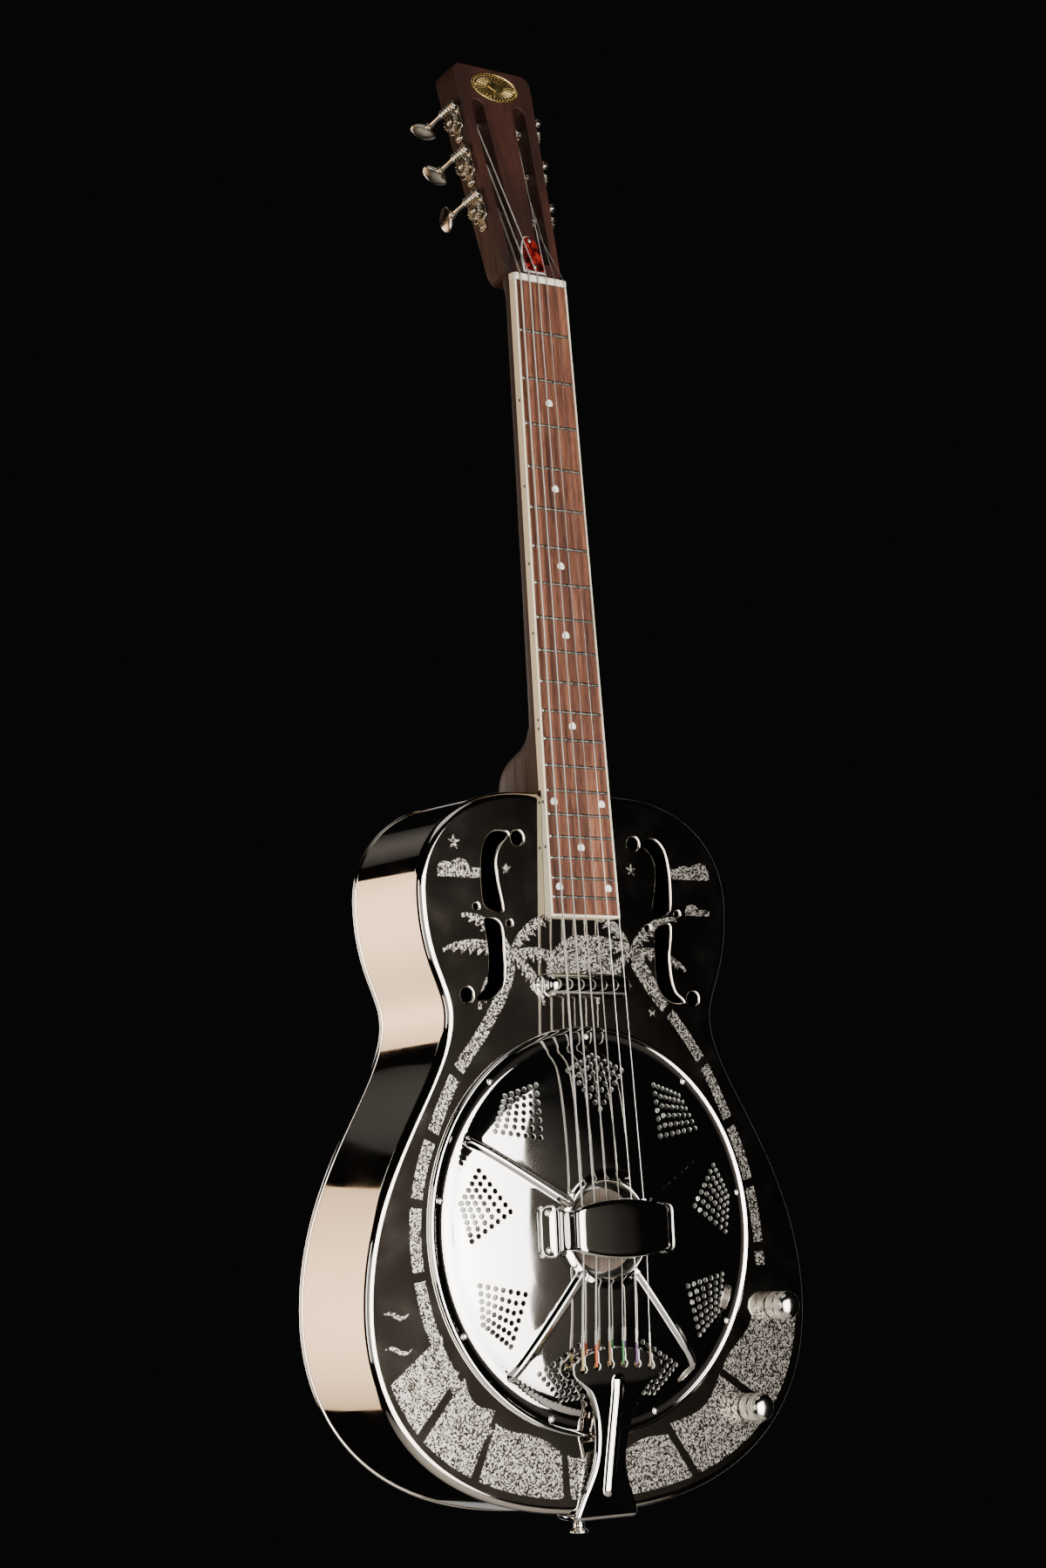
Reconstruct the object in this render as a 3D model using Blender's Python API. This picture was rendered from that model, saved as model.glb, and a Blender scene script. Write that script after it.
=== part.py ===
"""Resonator guitar: a pressed-metal body with a single cone, a slotted headstock and a tube pickup.

The guitar stands upright: +Z runs up the neck, the front faces -Y and +X is the player's treble side as seen
from the front. Every dimension below is in metres and is measured from the centre of the coverplate, on the
outer face of the body's top. The whole guitar hangs from an empty, so that the world's origin is the point
under the headstock where a wall hanger carries it.
"""

import math

import bmesh
import bpy
from mathutils import Matrix, Vector
from mathutils.geometry import tessellate_polygon

MM = 0.001
GAP = 0.3 * MM  # clearance kept between neighbouring solids

# Driving dimensions
SADDLE_Z = 1.5 * MM
NUT_Z = 653.5 * MM  # end of the fretboard, where the nut begins
BODY_DEPTH = 80 * MM
SHEET = 0.9 * MM  # gauge of the pressed metal
CONE_RADIUS = 120.5 * MM
STRING_COUNT = 6

# Half outline of the body: (half width, height) where the curve is vertical or horizontal
BODY_TOP_Z = 293 * MM
BODY_FLAT = 40 * MM  # half of the flat that the neck's heel meets
UPPER_BOUT = (132.5 * MM, 222 * MM)
WAIST = (114 * MM, 142 * MM)
LOWER_BOUT = (186 * MM, -50 * MM)
BODY_END_Z = -184 * MM
# How far the two handles of each curve between those points reach, from the neck's flat down to the end
SHOULDER_REACH = (63 * MM, 36 * MM)
WAIST_ENTRY_REACH = (47 * MM, 20 * MM)
WAIST_EXIT_REACH = (43 * MM, 94 * MM)
BOTTOM_REACH = (75 * MM, 129 * MM)

# Neck and fretboard
BOARD_THICKNESS = 6 * MM
BOARD_END_Z = 208.5 * MM
BOARD_TOP_AT_NUT = 10.8 * MM  # the neck leans back, so its face crosses the plane of the body's top
NECK_SLOPE = 0.0408  # rise of the fretboard towards the front for each metre down the neck
NUT_HALF_WIDTH = 22.8 * MM
BOARD_TAPER = 0.0152  # growth of the half width for each metre down the neck
BINDING = 1.6 * MM

# Headstock, measured in its own tilted plane
HEAD_ANGLE = math.radians(14)
HEAD_THICKNESS = 22 * MM
HEAD_FOOT_Y = 15 * MM  # depth of the headstock's face at the end of the fretboard
HEAD_LENGTH = 176 * MM
HEAD_HALF_TOP = 34.5 * MM
HEAD_HALF_FOOT = 24.5 * MM
HEAD_FOOT_S = 10 * MM
HEAD_SHOULDER_S = 165 * MM
SLOT_HALF_WIDTH = 5.3 * MM
TUNER_S = (60.5 * MM, 96 * MM, 131.5 * MM)
TUNER_DEPTH = 11 * MM

# Strings, thickest last: string_1 is the thin treble string
STRING_RADII = (0.2 * MM, 0.23 * MM, 0.33 * MM, 0.46 * MM, 0.58 * MM, 0.71 * MM)
NUT_PITCH = 7.6 * MM
SADDLE_PITCH = 10.6 * MM
TAIL_PITCH = 11.4 * MM
STRING_Y_NUT = 8.5 * MM
STRING_Y_SADDLE = -22.6 * MM

# The point under the headstock's shoulders that a wall hanger holds
HANGER = Vector((0.0, 26 * MM, 648 * MM))

# Turns of a spun part, whose axis is local +Z
FACING_FRONT = Matrix.Rotation(math.pi / 2, 4, "X")
FACING_RIGHT = Matrix.Rotation(math.pi / 2, 4, "Y")
FACING_DOWN = Matrix.Rotation(math.pi, 4, "X")

HEAD_UP = Vector((0, math.sin(HEAD_ANGLE), math.cos(HEAD_ANGLE)))
HEAD_BACK = Vector((0, math.cos(HEAD_ANGLE), -math.sin(HEAD_ANGLE)))
HEAD_ORIGIN = Vector((0, HEAD_FOOT_Y, NUT_Z))


# ---------------------------------------------------------------- scene, materials and mesh helpers


def clear_scene():
    for item in list(bpy.data.objects):
        bpy.data.objects.remove(item, do_unlink=True)


def material(name, color, roughness, metallic=0.0):
    mat = bpy.data.materials.get(name) or bpy.data.materials.new(name)
    mat.use_nodes = True
    shader = mat.node_tree.nodes["Principled BSDF"]
    shader.inputs["Base Color"].default_value = (*color, 1.0)
    shader.inputs["Roughness"].default_value = roughness
    shader.inputs["Metallic"].default_value = metallic
    return mat


def mesh_from(verts, faces):
    """A mesh with its faces turned outwards."""
    mesh = bpy.data.meshes.new("shape")
    mesh.from_pydata([Vector(v) for v in verts], [], faces)
    work = bmesh.new()
    work.from_mesh(mesh)
    bmesh.ops.recalc_face_normals(work, faces=work.faces)
    work.to_mesh(mesh)
    work.free()
    return mesh


def add(name, mesh, mat, parent, place=None):
    """Link a mesh as one named sub-part, placed by a matrix in the parent's frame."""
    item = bpy.data.objects.new(name, mesh)
    bpy.context.scene.collection.objects.link(item)
    item.parent = parent
    if place:
        item.matrix_basis = place
    if item.type == "MESH":
        mesh.shade_smooth()
        mesh.set_sharp_from_angle(angle=math.radians(35))
    mesh.materials.clear()
    mesh.materials.append(mat)
    return item


def combine(mesh, *steps):
    """A new mesh: the first one with others joined to it or cut from it. Each step is (operation, mesh)."""
    base = bpy.data.objects.new("base", mesh)
    bpy.context.scene.collection.objects.link(base)
    helpers = []
    for operation, other in steps:
        helper = bpy.data.objects.new("helper", other)
        helper.hide_render = True
        helper.display_type = "WIRE"
        bpy.context.scene.collection.objects.link(helper)
        helpers.append(helper)
        modifier = base.modifiers.new(operation, "BOOLEAN")
        modifier.operation = operation
        modifier.solver = "EXACT"
        modifier.object = helper
    evaluated = base.evaluated_get(bpy.context.evaluated_depsgraph_get())
    result = bpy.data.meshes.new_from_object(evaluated)
    for item in (base, *helpers):
        bpy.data.objects.remove(item, do_unlink=True)
    return result


def moved(mesh, matrix):
    copy = mesh.copy()
    copy.transform(matrix)
    if matrix.determinant() < 0:
        copy.flip_normals()
    return copy


# ---------------------------------------------------------------- shapes


def plate(outline, low, high, holes=()):
    """A flat plate: an outline of (x, z) points with holes, from depth y = low to y = high."""
    loops = [outline, *holes]
    flat = [[Vector((x, z, 0)) for x, z in loop] for loop in loops]
    points = [point for loop in loops for point in loop]
    count = len(points)
    verts = [(x, low, z) for x, z in points] + [(x, high, z) for x, z in points]
    faces = []
    for a, b, c in tessellate_polygon(flat):
        faces.append((a, b, c))
        faces.append((c + count, b + count, a + count))
    start = 0
    for loop in loops:
        size = len(loop)
        for k in range(size):
            here = start + k
            after = start + (k + 1) % size
            faces.append((here, after, after + count, here + count))
        start += size
    return mesh_from(verts, faces)


def loft(rings, closed=False):
    """A skin over rings of points, with flat ends, or joined end to end when it is closed."""
    size = len(rings[0])
    verts = [point for ring in rings for point in ring]
    faces = []
    last = len(rings) if closed else len(rings) - 1
    for r in range(last):
        low = r * size
        high = ((r + 1) % len(rings)) * size
        for k in range(size):
            after = (k + 1) % size
            faces.append((low + k, low + after, high + after, high + k))
    if not closed:
        faces.append(tuple(range(size)))
        faces.append(tuple(range(len(verts) - size, len(verts))))
    return mesh_from(verts, faces)


def spun(profile, segments, ring=False):
    """A turned part about local Z from (radius, height) points. A ring's profile is a closed loop."""
    loops = []
    for radius, height in profile:
        turn = [2 * math.pi * k / segments for k in range(segments)]
        loops.append([(radius * math.cos(a), radius * math.sin(a), height) for a in turn])
    return loft(loops, closed=ring)


def circle(x, z, radius, count):
    turn = [2 * math.pi * k / count for k in range(count)]
    return [(x + radius * math.cos(a), z + radius * math.sin(a)) for a in turn]


def bezier(p0, p1, p2, p3, steps):
    """Points along a cubic curve, without its last point."""
    points = []
    for k in range(steps):
        t = k / steps
        u = 1 - t
        weights = (u**3, 3 * u * u * t, 3 * u * t * t, t**3)
        points.append(
            tuple(sum(w * p[i] for w, p in zip(weights, (p0, p1, p2, p3))) for i in (0, 1))
        )
    return points


def inset(outline, distance):
    """The outline moved inwards along the bisector at each of its points."""
    size = len(outline)
    area = sum(
        outline[k][0] * outline[(k + 1) % size][1] - outline[(k + 1) % size][0] * outline[k][1]
        for k in range(size)
    )
    side = 1 if area > 0 else -1
    result = []
    for k in range(size):
        before = Vector(outline[k - 1])
        here = Vector(outline[k])
        after = Vector(outline[(k + 1) % size])
        into = (here - before).normalized()
        out = (after - here).normalized()
        normal = Vector((-(into.y + out.y), into.x + out.x)).normalized() * side
        spread = math.sqrt(max(0.25, (1 + into.dot(out)) / 2))
        result.append(tuple(here + normal * distance / spread))
    return result


def box(low, high):
    (x0, y0, z0), (x1, y1, z1) = low, high
    lower = [(x0, y0, z0), (x1, y0, z0), (x1, y1, z0), (x0, y1, z0)]
    upper = [(x, y, z1) for x, y, z in lower]
    return loft([lower, upper])


def tube(points, radius):
    """A round bar along a route, as a curve with closed ends."""
    curve = bpy.data.curves.new("route", "CURVE")
    curve.dimensions = "3D"
    curve.bevel_depth = radius
    curve.bevel_resolution = 1
    curve.render_resolution_u = 0
    curve.use_fill_caps = True
    spline = curve.splines.new("POLY")
    spline.points.add(len(points) - 1)
    for target, point in zip(spline.points, points):
        target.co = (*point, 1.0)
    return curve


# ---------------------------------------------------------------- places worked out from the dimensions


def body_outline():
    """The body's outline, counter-clockwise from the neck's flat, as (x, z) points."""
    (ux, uz), (wx, wz), (lx, lz) = UPPER_BOUT, WAIST, LOWER_BOUT
    flat, top, end = BODY_FLAT, BODY_TOP_Z, BODY_END_Z
    first, second = SHOULDER_REACH
    half = bezier((flat, top), (flat + first, top), (ux, uz + second), (ux, uz), 9)
    first, second = WAIST_ENTRY_REACH
    half += bezier((ux, uz), (ux, uz - first), (wx, wz + second), (wx, wz), 6)
    first, second = WAIST_EXIT_REACH
    half += bezier((wx, wz), (wx, wz - first), (lx, lz + second), (lx, lz), 10)
    first, second = BOTTOM_REACH
    half += bezier((lx, lz), (lx, lz - first), (second, end), (0, end), 12)
    half.append((0, end))
    left = [(-x, z) for x, z in half]
    return left + list(reversed(half[:-1]))


def board_top(z):
    return BOARD_TOP_AT_NUT - NECK_SLOPE * (NUT_Z - z)


def board_half_width(z):
    return NUT_HALF_WIDTH + BOARD_TAPER * (NUT_Z - z)


def head_point(x, s, depth):
    """A point of the headstock: x across, s up its face from the nut, depth behind its face."""
    return HEAD_ORIGIN + Vector((x, 0, 0)) + HEAD_UP * s + HEAD_BACK * depth


def head_half_width(s):
    share = (s - HEAD_FOOT_S) / (HEAD_SHOULDER_S - HEAD_FOOT_S)
    return HEAD_HALF_FOOT + (HEAD_HALF_TOP - HEAD_HALF_FOOT) * share


def slot_centre(s):
    return 13.2 * MM + (s - 20 * MM) * 5 / 120


def string_x(number, pitch):
    """Across the guitar: string_1 is on the treble side, at +X."""
    return (STRING_COUNT / 2 + 0.5 - number) * pitch


def tuner_frame(number):
    """Where a string's tuner sits: local X points out of the headstock's side and Z to its back."""
    side = 1 if number <= 3 else -1
    row = number - 1 if side > 0 else STRING_COUNT - number
    s = TUNER_S[row]
    lean = math.atan2(HEAD_HALF_TOP - HEAD_HALF_FOOT, HEAD_SHOULDER_S - HEAD_FOOT_S)
    outward = Vector((side * math.cos(lean), 0, 0)) - HEAD_UP * math.sin(lean)
    across = HEAD_BACK.cross(outward)
    place = Matrix((outward, across, HEAD_BACK)).transposed().to_4x4()
    place.translation = head_point(side * head_half_width(s), s, TUNER_DEPTH)
    return side, place


# ---------------------------------------------------------------- body

WELL_RADIUS = 126 * MM
KNOB_CENTRES = {"volume": (156.5 * MM, -56 * MM), "tone": (128 * MM, -123.5 * MM)}
KNOB_RADIUS = 9.5 * MM
POT_BUSHING = 3.6 * MM
SHAFT_OF_POT = 3 * MM
PICKUP_Z = 162.8 * MM
JACK_Z = -50 * MM
JACK_HOLE = 5.5 * MM
STRAP_SCREW_HOLE = 2.6 * MM
NECK_STICK_HALF = 13 * MM
NECK_STICK_DEPTH = (38 * MM, 62 * MM)
CUT = 15 * MM  # how far a cutter reaches past the wall on each side
JACK_Y = 40 * MM
STRAP_Y = 30 * MM
HEEL_OPENING = (15 * MM, 36 * MM, 66 * MM)  # half width, front and back of the neck stick's passage


def sound_hole(side):
    """One split f-shaped sound hole: two curved slots, two end circles and two small ones."""
    upper = [(-68, 265), (-76, 259), (-80, 247), (-81, 232), (-80, 218), (-76, 213), (-66, 211)]
    upper += [(-65, 216), (-68, 230), (-69.5, 243), (-67, 253), (-60, 260), (-58, 264)]
    lower = [(-79, 206), (-70, 205), (-66, 199), (-65.5, 185), (-65.5, 170), (-69, 160), (-77, 153.5)]
    lower += [(-88, 152.5), (-87, 155), (-81, 160), (-78, 170), (-77, 185), (-79, 197)]
    circles = [(-50, 261, 5), (-97, 155.5, 5), (-86.5, 214, 2.2), (-59.5, 203.5, 2.2)]
    loops = [[(-side * x * MM, z * MM) for x, z in slot] for slot in (upper, lower)]
    for x, z, radius in circles:
        count = 16 if radius > 3 else 10
        loops.append(circle(-side * x * MM, z * MM, radius * MM, count))
    return loops


def strap_screw_hole():
    end = -BODY_END_Z
    hole = spun([(STRAP_SCREW_HOLE, end - CUT), (STRAP_SCREW_HOLE, end + CUT)], 12)
    hole.transform(Matrix.Translation((0, STRAP_Y, 0)) @ FACING_DOWN)
    return hole


def make_body(parent):
    nickel = material("polished_nickel", (0.80, 0.77, 0.72), 0.08, 1.0)
    outline = body_outline()
    holes = [circle(0, 0, WELL_RADIUS, 48)]
    holes += sound_hole(-1)
    holes += sound_hole(1)
    holes.append([(-28 * MM, PICKUP_Z - 4 * MM), (28 * MM, PICKUP_Z - 4 * MM),
                  (28 * MM, PICKUP_Z + 4 * MM), (-28 * MM, PICKUP_Z + 4 * MM)])
    for x, z in KNOB_CENTRES.values():
        holes.append(circle(x, z, POT_BUSHING + GAP, 12))
    add("body_top", plate(outline, 0, SHEET, holes), nickel, parent)
    add("body_back", plate(outline, BODY_DEPTH - SHEET, BODY_DEPTH), nickel, parent)
    wall = inset(outline, 1.0 * MM)
    band = plate(wall, SHEET + GAP, BODY_DEPTH - SHEET - GAP, [inset(wall, SHEET)])
    half, front, back = HEEL_OPENING
    passage = box((-half, front, BODY_TOP_Z - CUT), (half, back, BODY_TOP_Z + CUT))
    side = LOWER_BOUT[0]
    jack_hole = spun([(JACK_HOLE, side - CUT), (JACK_HOLE, side + CUT)], 16)
    jack_hole.transform(Matrix.Translation((0, JACK_Y, JACK_Z)) @ FACING_RIGHT)
    cuts = [("DIFFERENCE", cut) for cut in (passage, jack_hole, strap_screw_hole())]
    add("body_sides", combine(band, *cuts), nickel, parent)


def make_resonator(parent):
    steel = material("well_steel", (0.55, 0.55, 0.55), 0.35, 1.0)
    aluminium = material("spun_aluminium", (0.75, 0.75, 0.74), 0.3, 1.0)
    maple = material("maple", (0.70, 0.52, 0.32), 0.5)
    saddle_wood = material("saddle_maple", (0.62, 0.45, 0.27), 0.5)
    # Heights below are towards the front, so what lies behind the top has a negative height.
    well_wall = WELL_RADIUS - GAP
    ledge = -22 * MM
    under = -SHEET - GAP
    well = [(well_wall - SHEET, 0), (well_wall, 0), (well_wall, under), (well_wall + 7 * MM, under)]
    well += [(well_wall + 7 * MM, under - SHEET), (well_wall, under - SHEET), (well_wall, ledge - SHEET)]
    well += [(112 * MM, ledge - SHEET), (112 * MM, ledge), (well_wall - SHEET, ledge)]
    add("sound_well", spun(well, 40, ring=True), steel, parent, FACING_FRONT)
    rim = ledge + GAP
    skin = 0.8 * MM
    cone = [(2.2 * MM, 0.5 * MM), (29 * MM, 0.5 * MM), (33 * MM, -1 * MM), (107 * MM, -18 * MM)]
    cone += [(111 * MM, -17 * MM), (114 * MM, rim + skin), (CONE_RADIUS, rim + skin), (CONE_RADIUS, rim)]
    cone += [(114 * MM, rim), (111 * MM, -18 * MM), (107 * MM, -19 * MM), (33 * MM, -2 * MM)]
    cone += [(29 * MM, -0.3 * MM), (2.2 * MM, -0.3 * MM)]
    add("cone", spun(cone, 32, ring=True), aluminium, parent, FACING_FRONT)
    biscuit_back = 0.5 * MM + GAP
    biscuit_front = biscuit_back + 9 * MM
    biscuit_radius = 27.5 * MM
    disc = spun([(biscuit_radius - 0.5 * MM, biscuit_back), (biscuit_radius, biscuit_front)], 28)
    groove_depth = 3 * MM
    groove_half = 1.9 * MM
    groove = box((-biscuit_radius - CUT, SADDLE_Z - groove_half, biscuit_front - groove_depth),
                 (biscuit_radius + CUT, SADDLE_Z + groove_half, biscuit_front + CUT))
    screw_hole = spun([(1.9 * MM, 0), (1.9 * MM, 5 * MM)], 10)
    biscuit = combine(disc, ("DIFFERENCE", groove), ("DIFFERENCE", screw_hole))
    add("biscuit", biscuit, maple, parent, FACING_FRONT)
    screw = [(1.2 * MM, -3.2 * MM), (3.4 * MM, -2.4 * MM), (3.4 * MM, -0.3 * MM - GAP)]
    screw += [(1.6 * MM, -0.3 * MM - GAP), (1.6 * MM, 4.6 * MM)]
    add("biscuit_screw", spun(screw, 10), steel, parent, FACING_FRONT)
    foot = -(biscuit_front - groove_depth + GAP)
    crown = STRING_Y_SADDLE + STRING_RADII[-1] + GAP
    arch = [(-28 * MM, foot), (28 * MM, foot), (28.5 * MM, crown + 3 * MM), (27.5 * MM, crown)]
    arch += [(-27.5 * MM, crown), (-28.5 * MM, crown + 3 * MM)]
    half = 1.6 * MM
    near = [(x, y, SADDLE_Z - half) for x, y in arch]
    far = [(x, y, SADDLE_Z + half) for x, y in arch]
    add("saddle", loft([near, far]), saddle_wood, parent)


# The coverplate's outer face, from its rolled edge to its centre opening: (radius, height) in millimetres
COVER_PROFILE = ((135.5, 0.4), (135.5, 2.2), (133.5, 3.0), (131.5, 2.2), (124, 2.4), (118, 5.4), (107, 9.0),
                 (70, 13.2), (40, 14.8), (35, 16.2), (32.5, 16.2), (31, 14.2))


def make_coverplate(parent):
    """The pressed dome, its rolled edge and the raised ring round its centre opening."""
    chrome = material("chrome", (0.82, 0.82, 0.82), 0.06, 1.0)
    outer = [(r * MM, h * MM) for r, h in COVER_PROFILE]
    inner = [(r, h - 0.8 * MM) for r, h in reversed(outer[4:-3])]
    profile = outer + [(32 * MM, 14 * MM), *inner, (132 * MM, 0.4 * MM)]
    add("coverplate", spun(profile, 48, ring=True), chrome, parent, FACING_FRONT)


def make_handrest(parent):
    """An arched strip over the saddle: two feet, two upright legs and a crown that widens to the middle."""
    chrome = material("chrome", (0.82, 0.82, 0.82), 0.06, 1.0)
    # Half the strip's route: (distance from the middle, height in front of the top, half width)
    half_route = [(56, 15.9, 13), (55, 15.9, 16), (44, 15.9, 16.5), (42.8, 17, 14), (41.4, 20, 12.8)]
    half_route += [(39.8, 28, 13.2), (38.6, 31, 13.8), (35, 33, 15.2), (24, 33.6, 17.6), (12, 33.9, 19)]
    right = [Vector((x * MM, -h * MM, w * MM)) for x, h, w in half_route]
    crown = Vector((0, -34 * MM, 19 * MM))
    left = [Vector((-p.x, p.y, p.z)) for p in reversed(right)]
    route = right + [crown] + left
    rings = []
    for k, here in enumerate(route):
        before = route[max(k - 1, 0)]
        after = route[min(k + 1, len(route) - 1)]
        along = Vector((after.x - before.x, after.y - before.y)).normalized()
        normal = Vector((-along.y, along.x)) * SHEET
        rings.append([
            (here.x, here.y, -here.z),
            (here.x, here.y, here.z),
            (here.x - normal.x, here.y - normal.y, here.z),
            (here.x - normal.x, here.y - normal.y, -here.z),
        ])
    add("handrest", loft(rings), chrome, parent)


def tail_head_outline():
    """The tailpiece's fan-shaped head with a keyhole for each string open to its front edge."""
    half = 37 * MM
    hole = 2.6 * MM
    slot = 1.2 * MM

    def front_edge(x):
        return -77 * MM - 8 * MM * (x / half) ** 2

    def hole_z(x):
        return -87.5 * MM - 4 * MM * (x / half) ** 2

    points = [(-half, -91 * MM), (-half, front_edge(-half))]
    for number in range(STRING_COUNT, 0, -1):
        x = string_x(number, TAIL_PITCH)
        z = hole_z(x)
        points.append((x - slot, front_edge(x - slot)))
        opening = math.asin(slot / hole)
        for k in range(9):
            turn = math.pi / 2 + opening + (2 * math.pi - 2 * opening) * k / 8
            points.append((x + hole * math.cos(turn), z + hole * math.sin(turn)))
        points.append((x + slot, front_edge(x + slot)))
    points += [(half, front_edge(half)), (half, -91 * MM), (34.6 * MM, -96 * MM), (25.2 * MM, -103.5 * MM)]
    points += [(-25.2 * MM, -103.5 * MM), (-34.6 * MM, -96 * MM)]
    return points


TAIL_HEAD_Y = -18.6 * MM
TAIL_GAUGE = 1.2 * MM
TAIL_FLANGE_Z = -188 * MM


def make_tailpiece(parent):
    """Head, stem and the flange that is folded over the end of the body."""
    chrome = material("chrome", (0.82, 0.82, 0.82), 0.06, 1.0)
    # Each station down the stem: (z, height in front of the top, half width)
    stem = [(-100, 18.6, 28), (-106, 17.6, 23.4), (-111, 16.6, 20.6), (-118, 15.1, 17.6), (-126, 13.3, 15.2)]
    stem += [(-135, 11.4, 13.7), (-146, 9, 13.2), (-156, 6.9, 14.6), (-166, 4.9, 18.2), (-175, 3.3, 22.3)]
    stem += [(-182, 2.2, 25.2), (-186, 1.5, 26.4)]
    route = [Vector((-h * MM, z * MM, w * MM)) for z, h, w in stem]
    route += [Vector((0.6 * MM, TAIL_FLANGE_Z, 26.6 * MM)), Vector((12 * MM, TAIL_FLANGE_Z, 25 * MM))]
    route += [Vector((26 * MM, TAIL_FLANGE_Z, 19.5 * MM)), Vector((38 * MM, TAIL_FLANGE_Z, 12 * MM))]
    rings = []
    for k, here in enumerate(route):
        before = route[max(k - 1, 0)]
        after = route[min(k + 1, len(route) - 1)]
        along = Vector((after.x - before.x, after.y - before.y)).normalized()
        inside = Vector((-along.y, along.x)) * TAIL_GAUGE
        rings.append([
            (-here.z, here.x, here.y),
            (here.z, here.x, here.y),
            (here.z, here.x + inside.x, here.y + inside.y),
            (-here.z, here.x + inside.x, here.y + inside.y),
        ])
    head = plate(tail_head_outline(), TAIL_HEAD_Y, TAIL_HEAD_Y + TAIL_GAUGE)
    tailpiece = combine(head, ("UNION", loft(rings)), ("DIFFERENCE", strap_screw_hole()))
    add("tailpiece", tailpiece, chrome, parent)


def make_strap_button(parent):
    chrome = material("chrome", (0.82, 0.82, 0.82), 0.06, 1.0)
    seat = GAP
    profile = [(2.2 * MM, -9 * MM), (2.2 * MM, seat), (6 * MM, seat), (6 * MM, seat + 1.5 * MM)]
    profile += [(3.6 * MM, seat + 3 * MM), (3.6 * MM, seat + 7 * MM), (6.2 * MM, seat + 8.5 * MM)]
    profile += [(6.2 * MM, seat + 10 * MM)]
    place = Matrix.Translation((0, STRAP_Y, TAIL_FLANGE_Z)) @ FACING_DOWN
    add("strap_button", spun(profile, 12), chrome, parent, place)


# ---------------------------------------------------------------- neck


def head_outline():
    """Half of the headstock's outline in its own plane, mirrored to a whole loop of (x, s) points."""
    corner = 8 * MM
    half = [(20 * MM, 6.5 * MM), (HEAD_HALF_FOOT, 14 * MM), (HEAD_HALF_TOP, HEAD_SHOULDER_S - corner / 2)]
    centre = (HEAD_HALF_TOP - corner, HEAD_LENGTH - corner)
    for k in range(1, 5):
        turn = math.pi / 2 * k / 4
        half.append((centre[0] + corner * math.cos(turn), centre[1] + corner * math.sin(turn)))
    return half + [(-x, s) for x, s in reversed(half)]


def slot_outline(side):
    low = 24 * MM
    high = 142 * MM
    points = []
    for k in range(7):
        turn = math.pi * k / 6
        points.append((side * slot_centre(high) + SLOT_HALF_WIDTH * math.cos(turn),
                       high + SLOT_HALF_WIDTH * math.sin(turn)))
    for k in range(7):
        turn = math.pi + math.pi * k / 6
        points.append((side * slot_centre(low) + SLOT_HALF_WIDTH * math.cos(turn),
                       low + SLOT_HALF_WIDTH * math.sin(turn)))
    return points


def head_matrix():
    """From a flat plate's own axes, x across, y deep and z up, to the tilted headstock."""
    place = Matrix((Vector((1, 0, 0)), HEAD_BACK, HEAD_UP)).transposed().to_4x4()
    place.translation = HEAD_ORIGIN
    return place


def neck_section(half, top, depth, z):
    """A D-shaped slice of the neck: flat under the fretboard and round at the back."""
    steps = 12
    ring = []
    for k in range(steps + 1):
        turn = math.pi * k / steps
        ring.append((-half * math.cos(turn), top + depth * math.sin(turn) ** 0.85, z))
    return ring


ROD_FRONT_Z = 300 * MM
ROD_HALF = 3 * MM
ROD_DEPTH = 7 * MM
POST_RADIUS = 3 * MM


def make_neck(parent):
    mahogany = material("mahogany", (0.27, 0.10, 0.055), 0.3)
    # Stations up the neck: (z, depth of the wood behind the fretboard, share of the board's half width)
    stations = [(293.4, 74, 0.93), (300, 72, 0.94), (307, 70, 0.95), (313, 67, 0.96), (318, 61, 0.97)]
    stations += [(321, 55, 0.98), (324, 46.5, 0.985), (326.5, 38, 0.99), (329.5, 31, 1), (333, 26, 1)]
    stations += [(338, 22.5, 1), (349, 19, 1), (450, 17.2, 1), (550, 16, 1), (636, 15.2, 1), (648, 17, 1)]
    stations += [(655, 19.5, 1), (660, 20.5, 1)]
    rings = []
    for z, depth, share in stations:
        z *= MM
        top = board_top(z) + BOARD_THICKNESS + GAP
        rings.append(neck_section(board_half_width(z) * share, top, depth * MM, z))
    shaft = loft(rings)
    slots = [slot_outline(-1), slot_outline(1)]
    head = moved(plate(head_outline(), 0, HEAD_THICKNESS, slots), head_matrix())
    steps = [("UNION", head)]
    bore = spun([(POST_RADIUS + GAP, -23.5 * MM), (POST_RADIUS + GAP, 6 * MM)], 12)
    bore.transform(FACING_RIGHT)
    for number in range(1, STRING_COUNT + 1):
        place = tuner_frame(number)[1]
        steps.append(("DIFFERENCE", moved(bore, place)))
    steps.append(("DIFFERENCE", rod_shape(GAP, 6 * MM)))
    add("neck", combine(shaft, *steps), mahogany, parent)
    front, back = NECK_STICK_DEPTH
    stick_end = BODY_END_Z + 6 * MM
    stick = box((-NECK_STICK_HALF, front, stick_end), (NECK_STICK_HALF, back, BODY_TOP_Z - 0.2 * MM))
    add("neck_stick", stick, mahogany, parent)


def rod_shape(clearance, open_front):
    """The truss rod, or its channel when it is grown by a clearance and left open to the fretboard."""
    half = ROD_HALF + clearance
    rings = []
    for z in (ROD_FRONT_Z - clearance, 652 * MM + clearance):
        top = board_top(z) + BOARD_THICKNESS + GAP
        front = top - open_front if open_front else top + GAP
        back = top + ROD_DEPTH + clearance
        rings.append([(-half, front, z), (half, front, z), (half, back, z), (-half, back, z)])
    return loft(rings)


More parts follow.
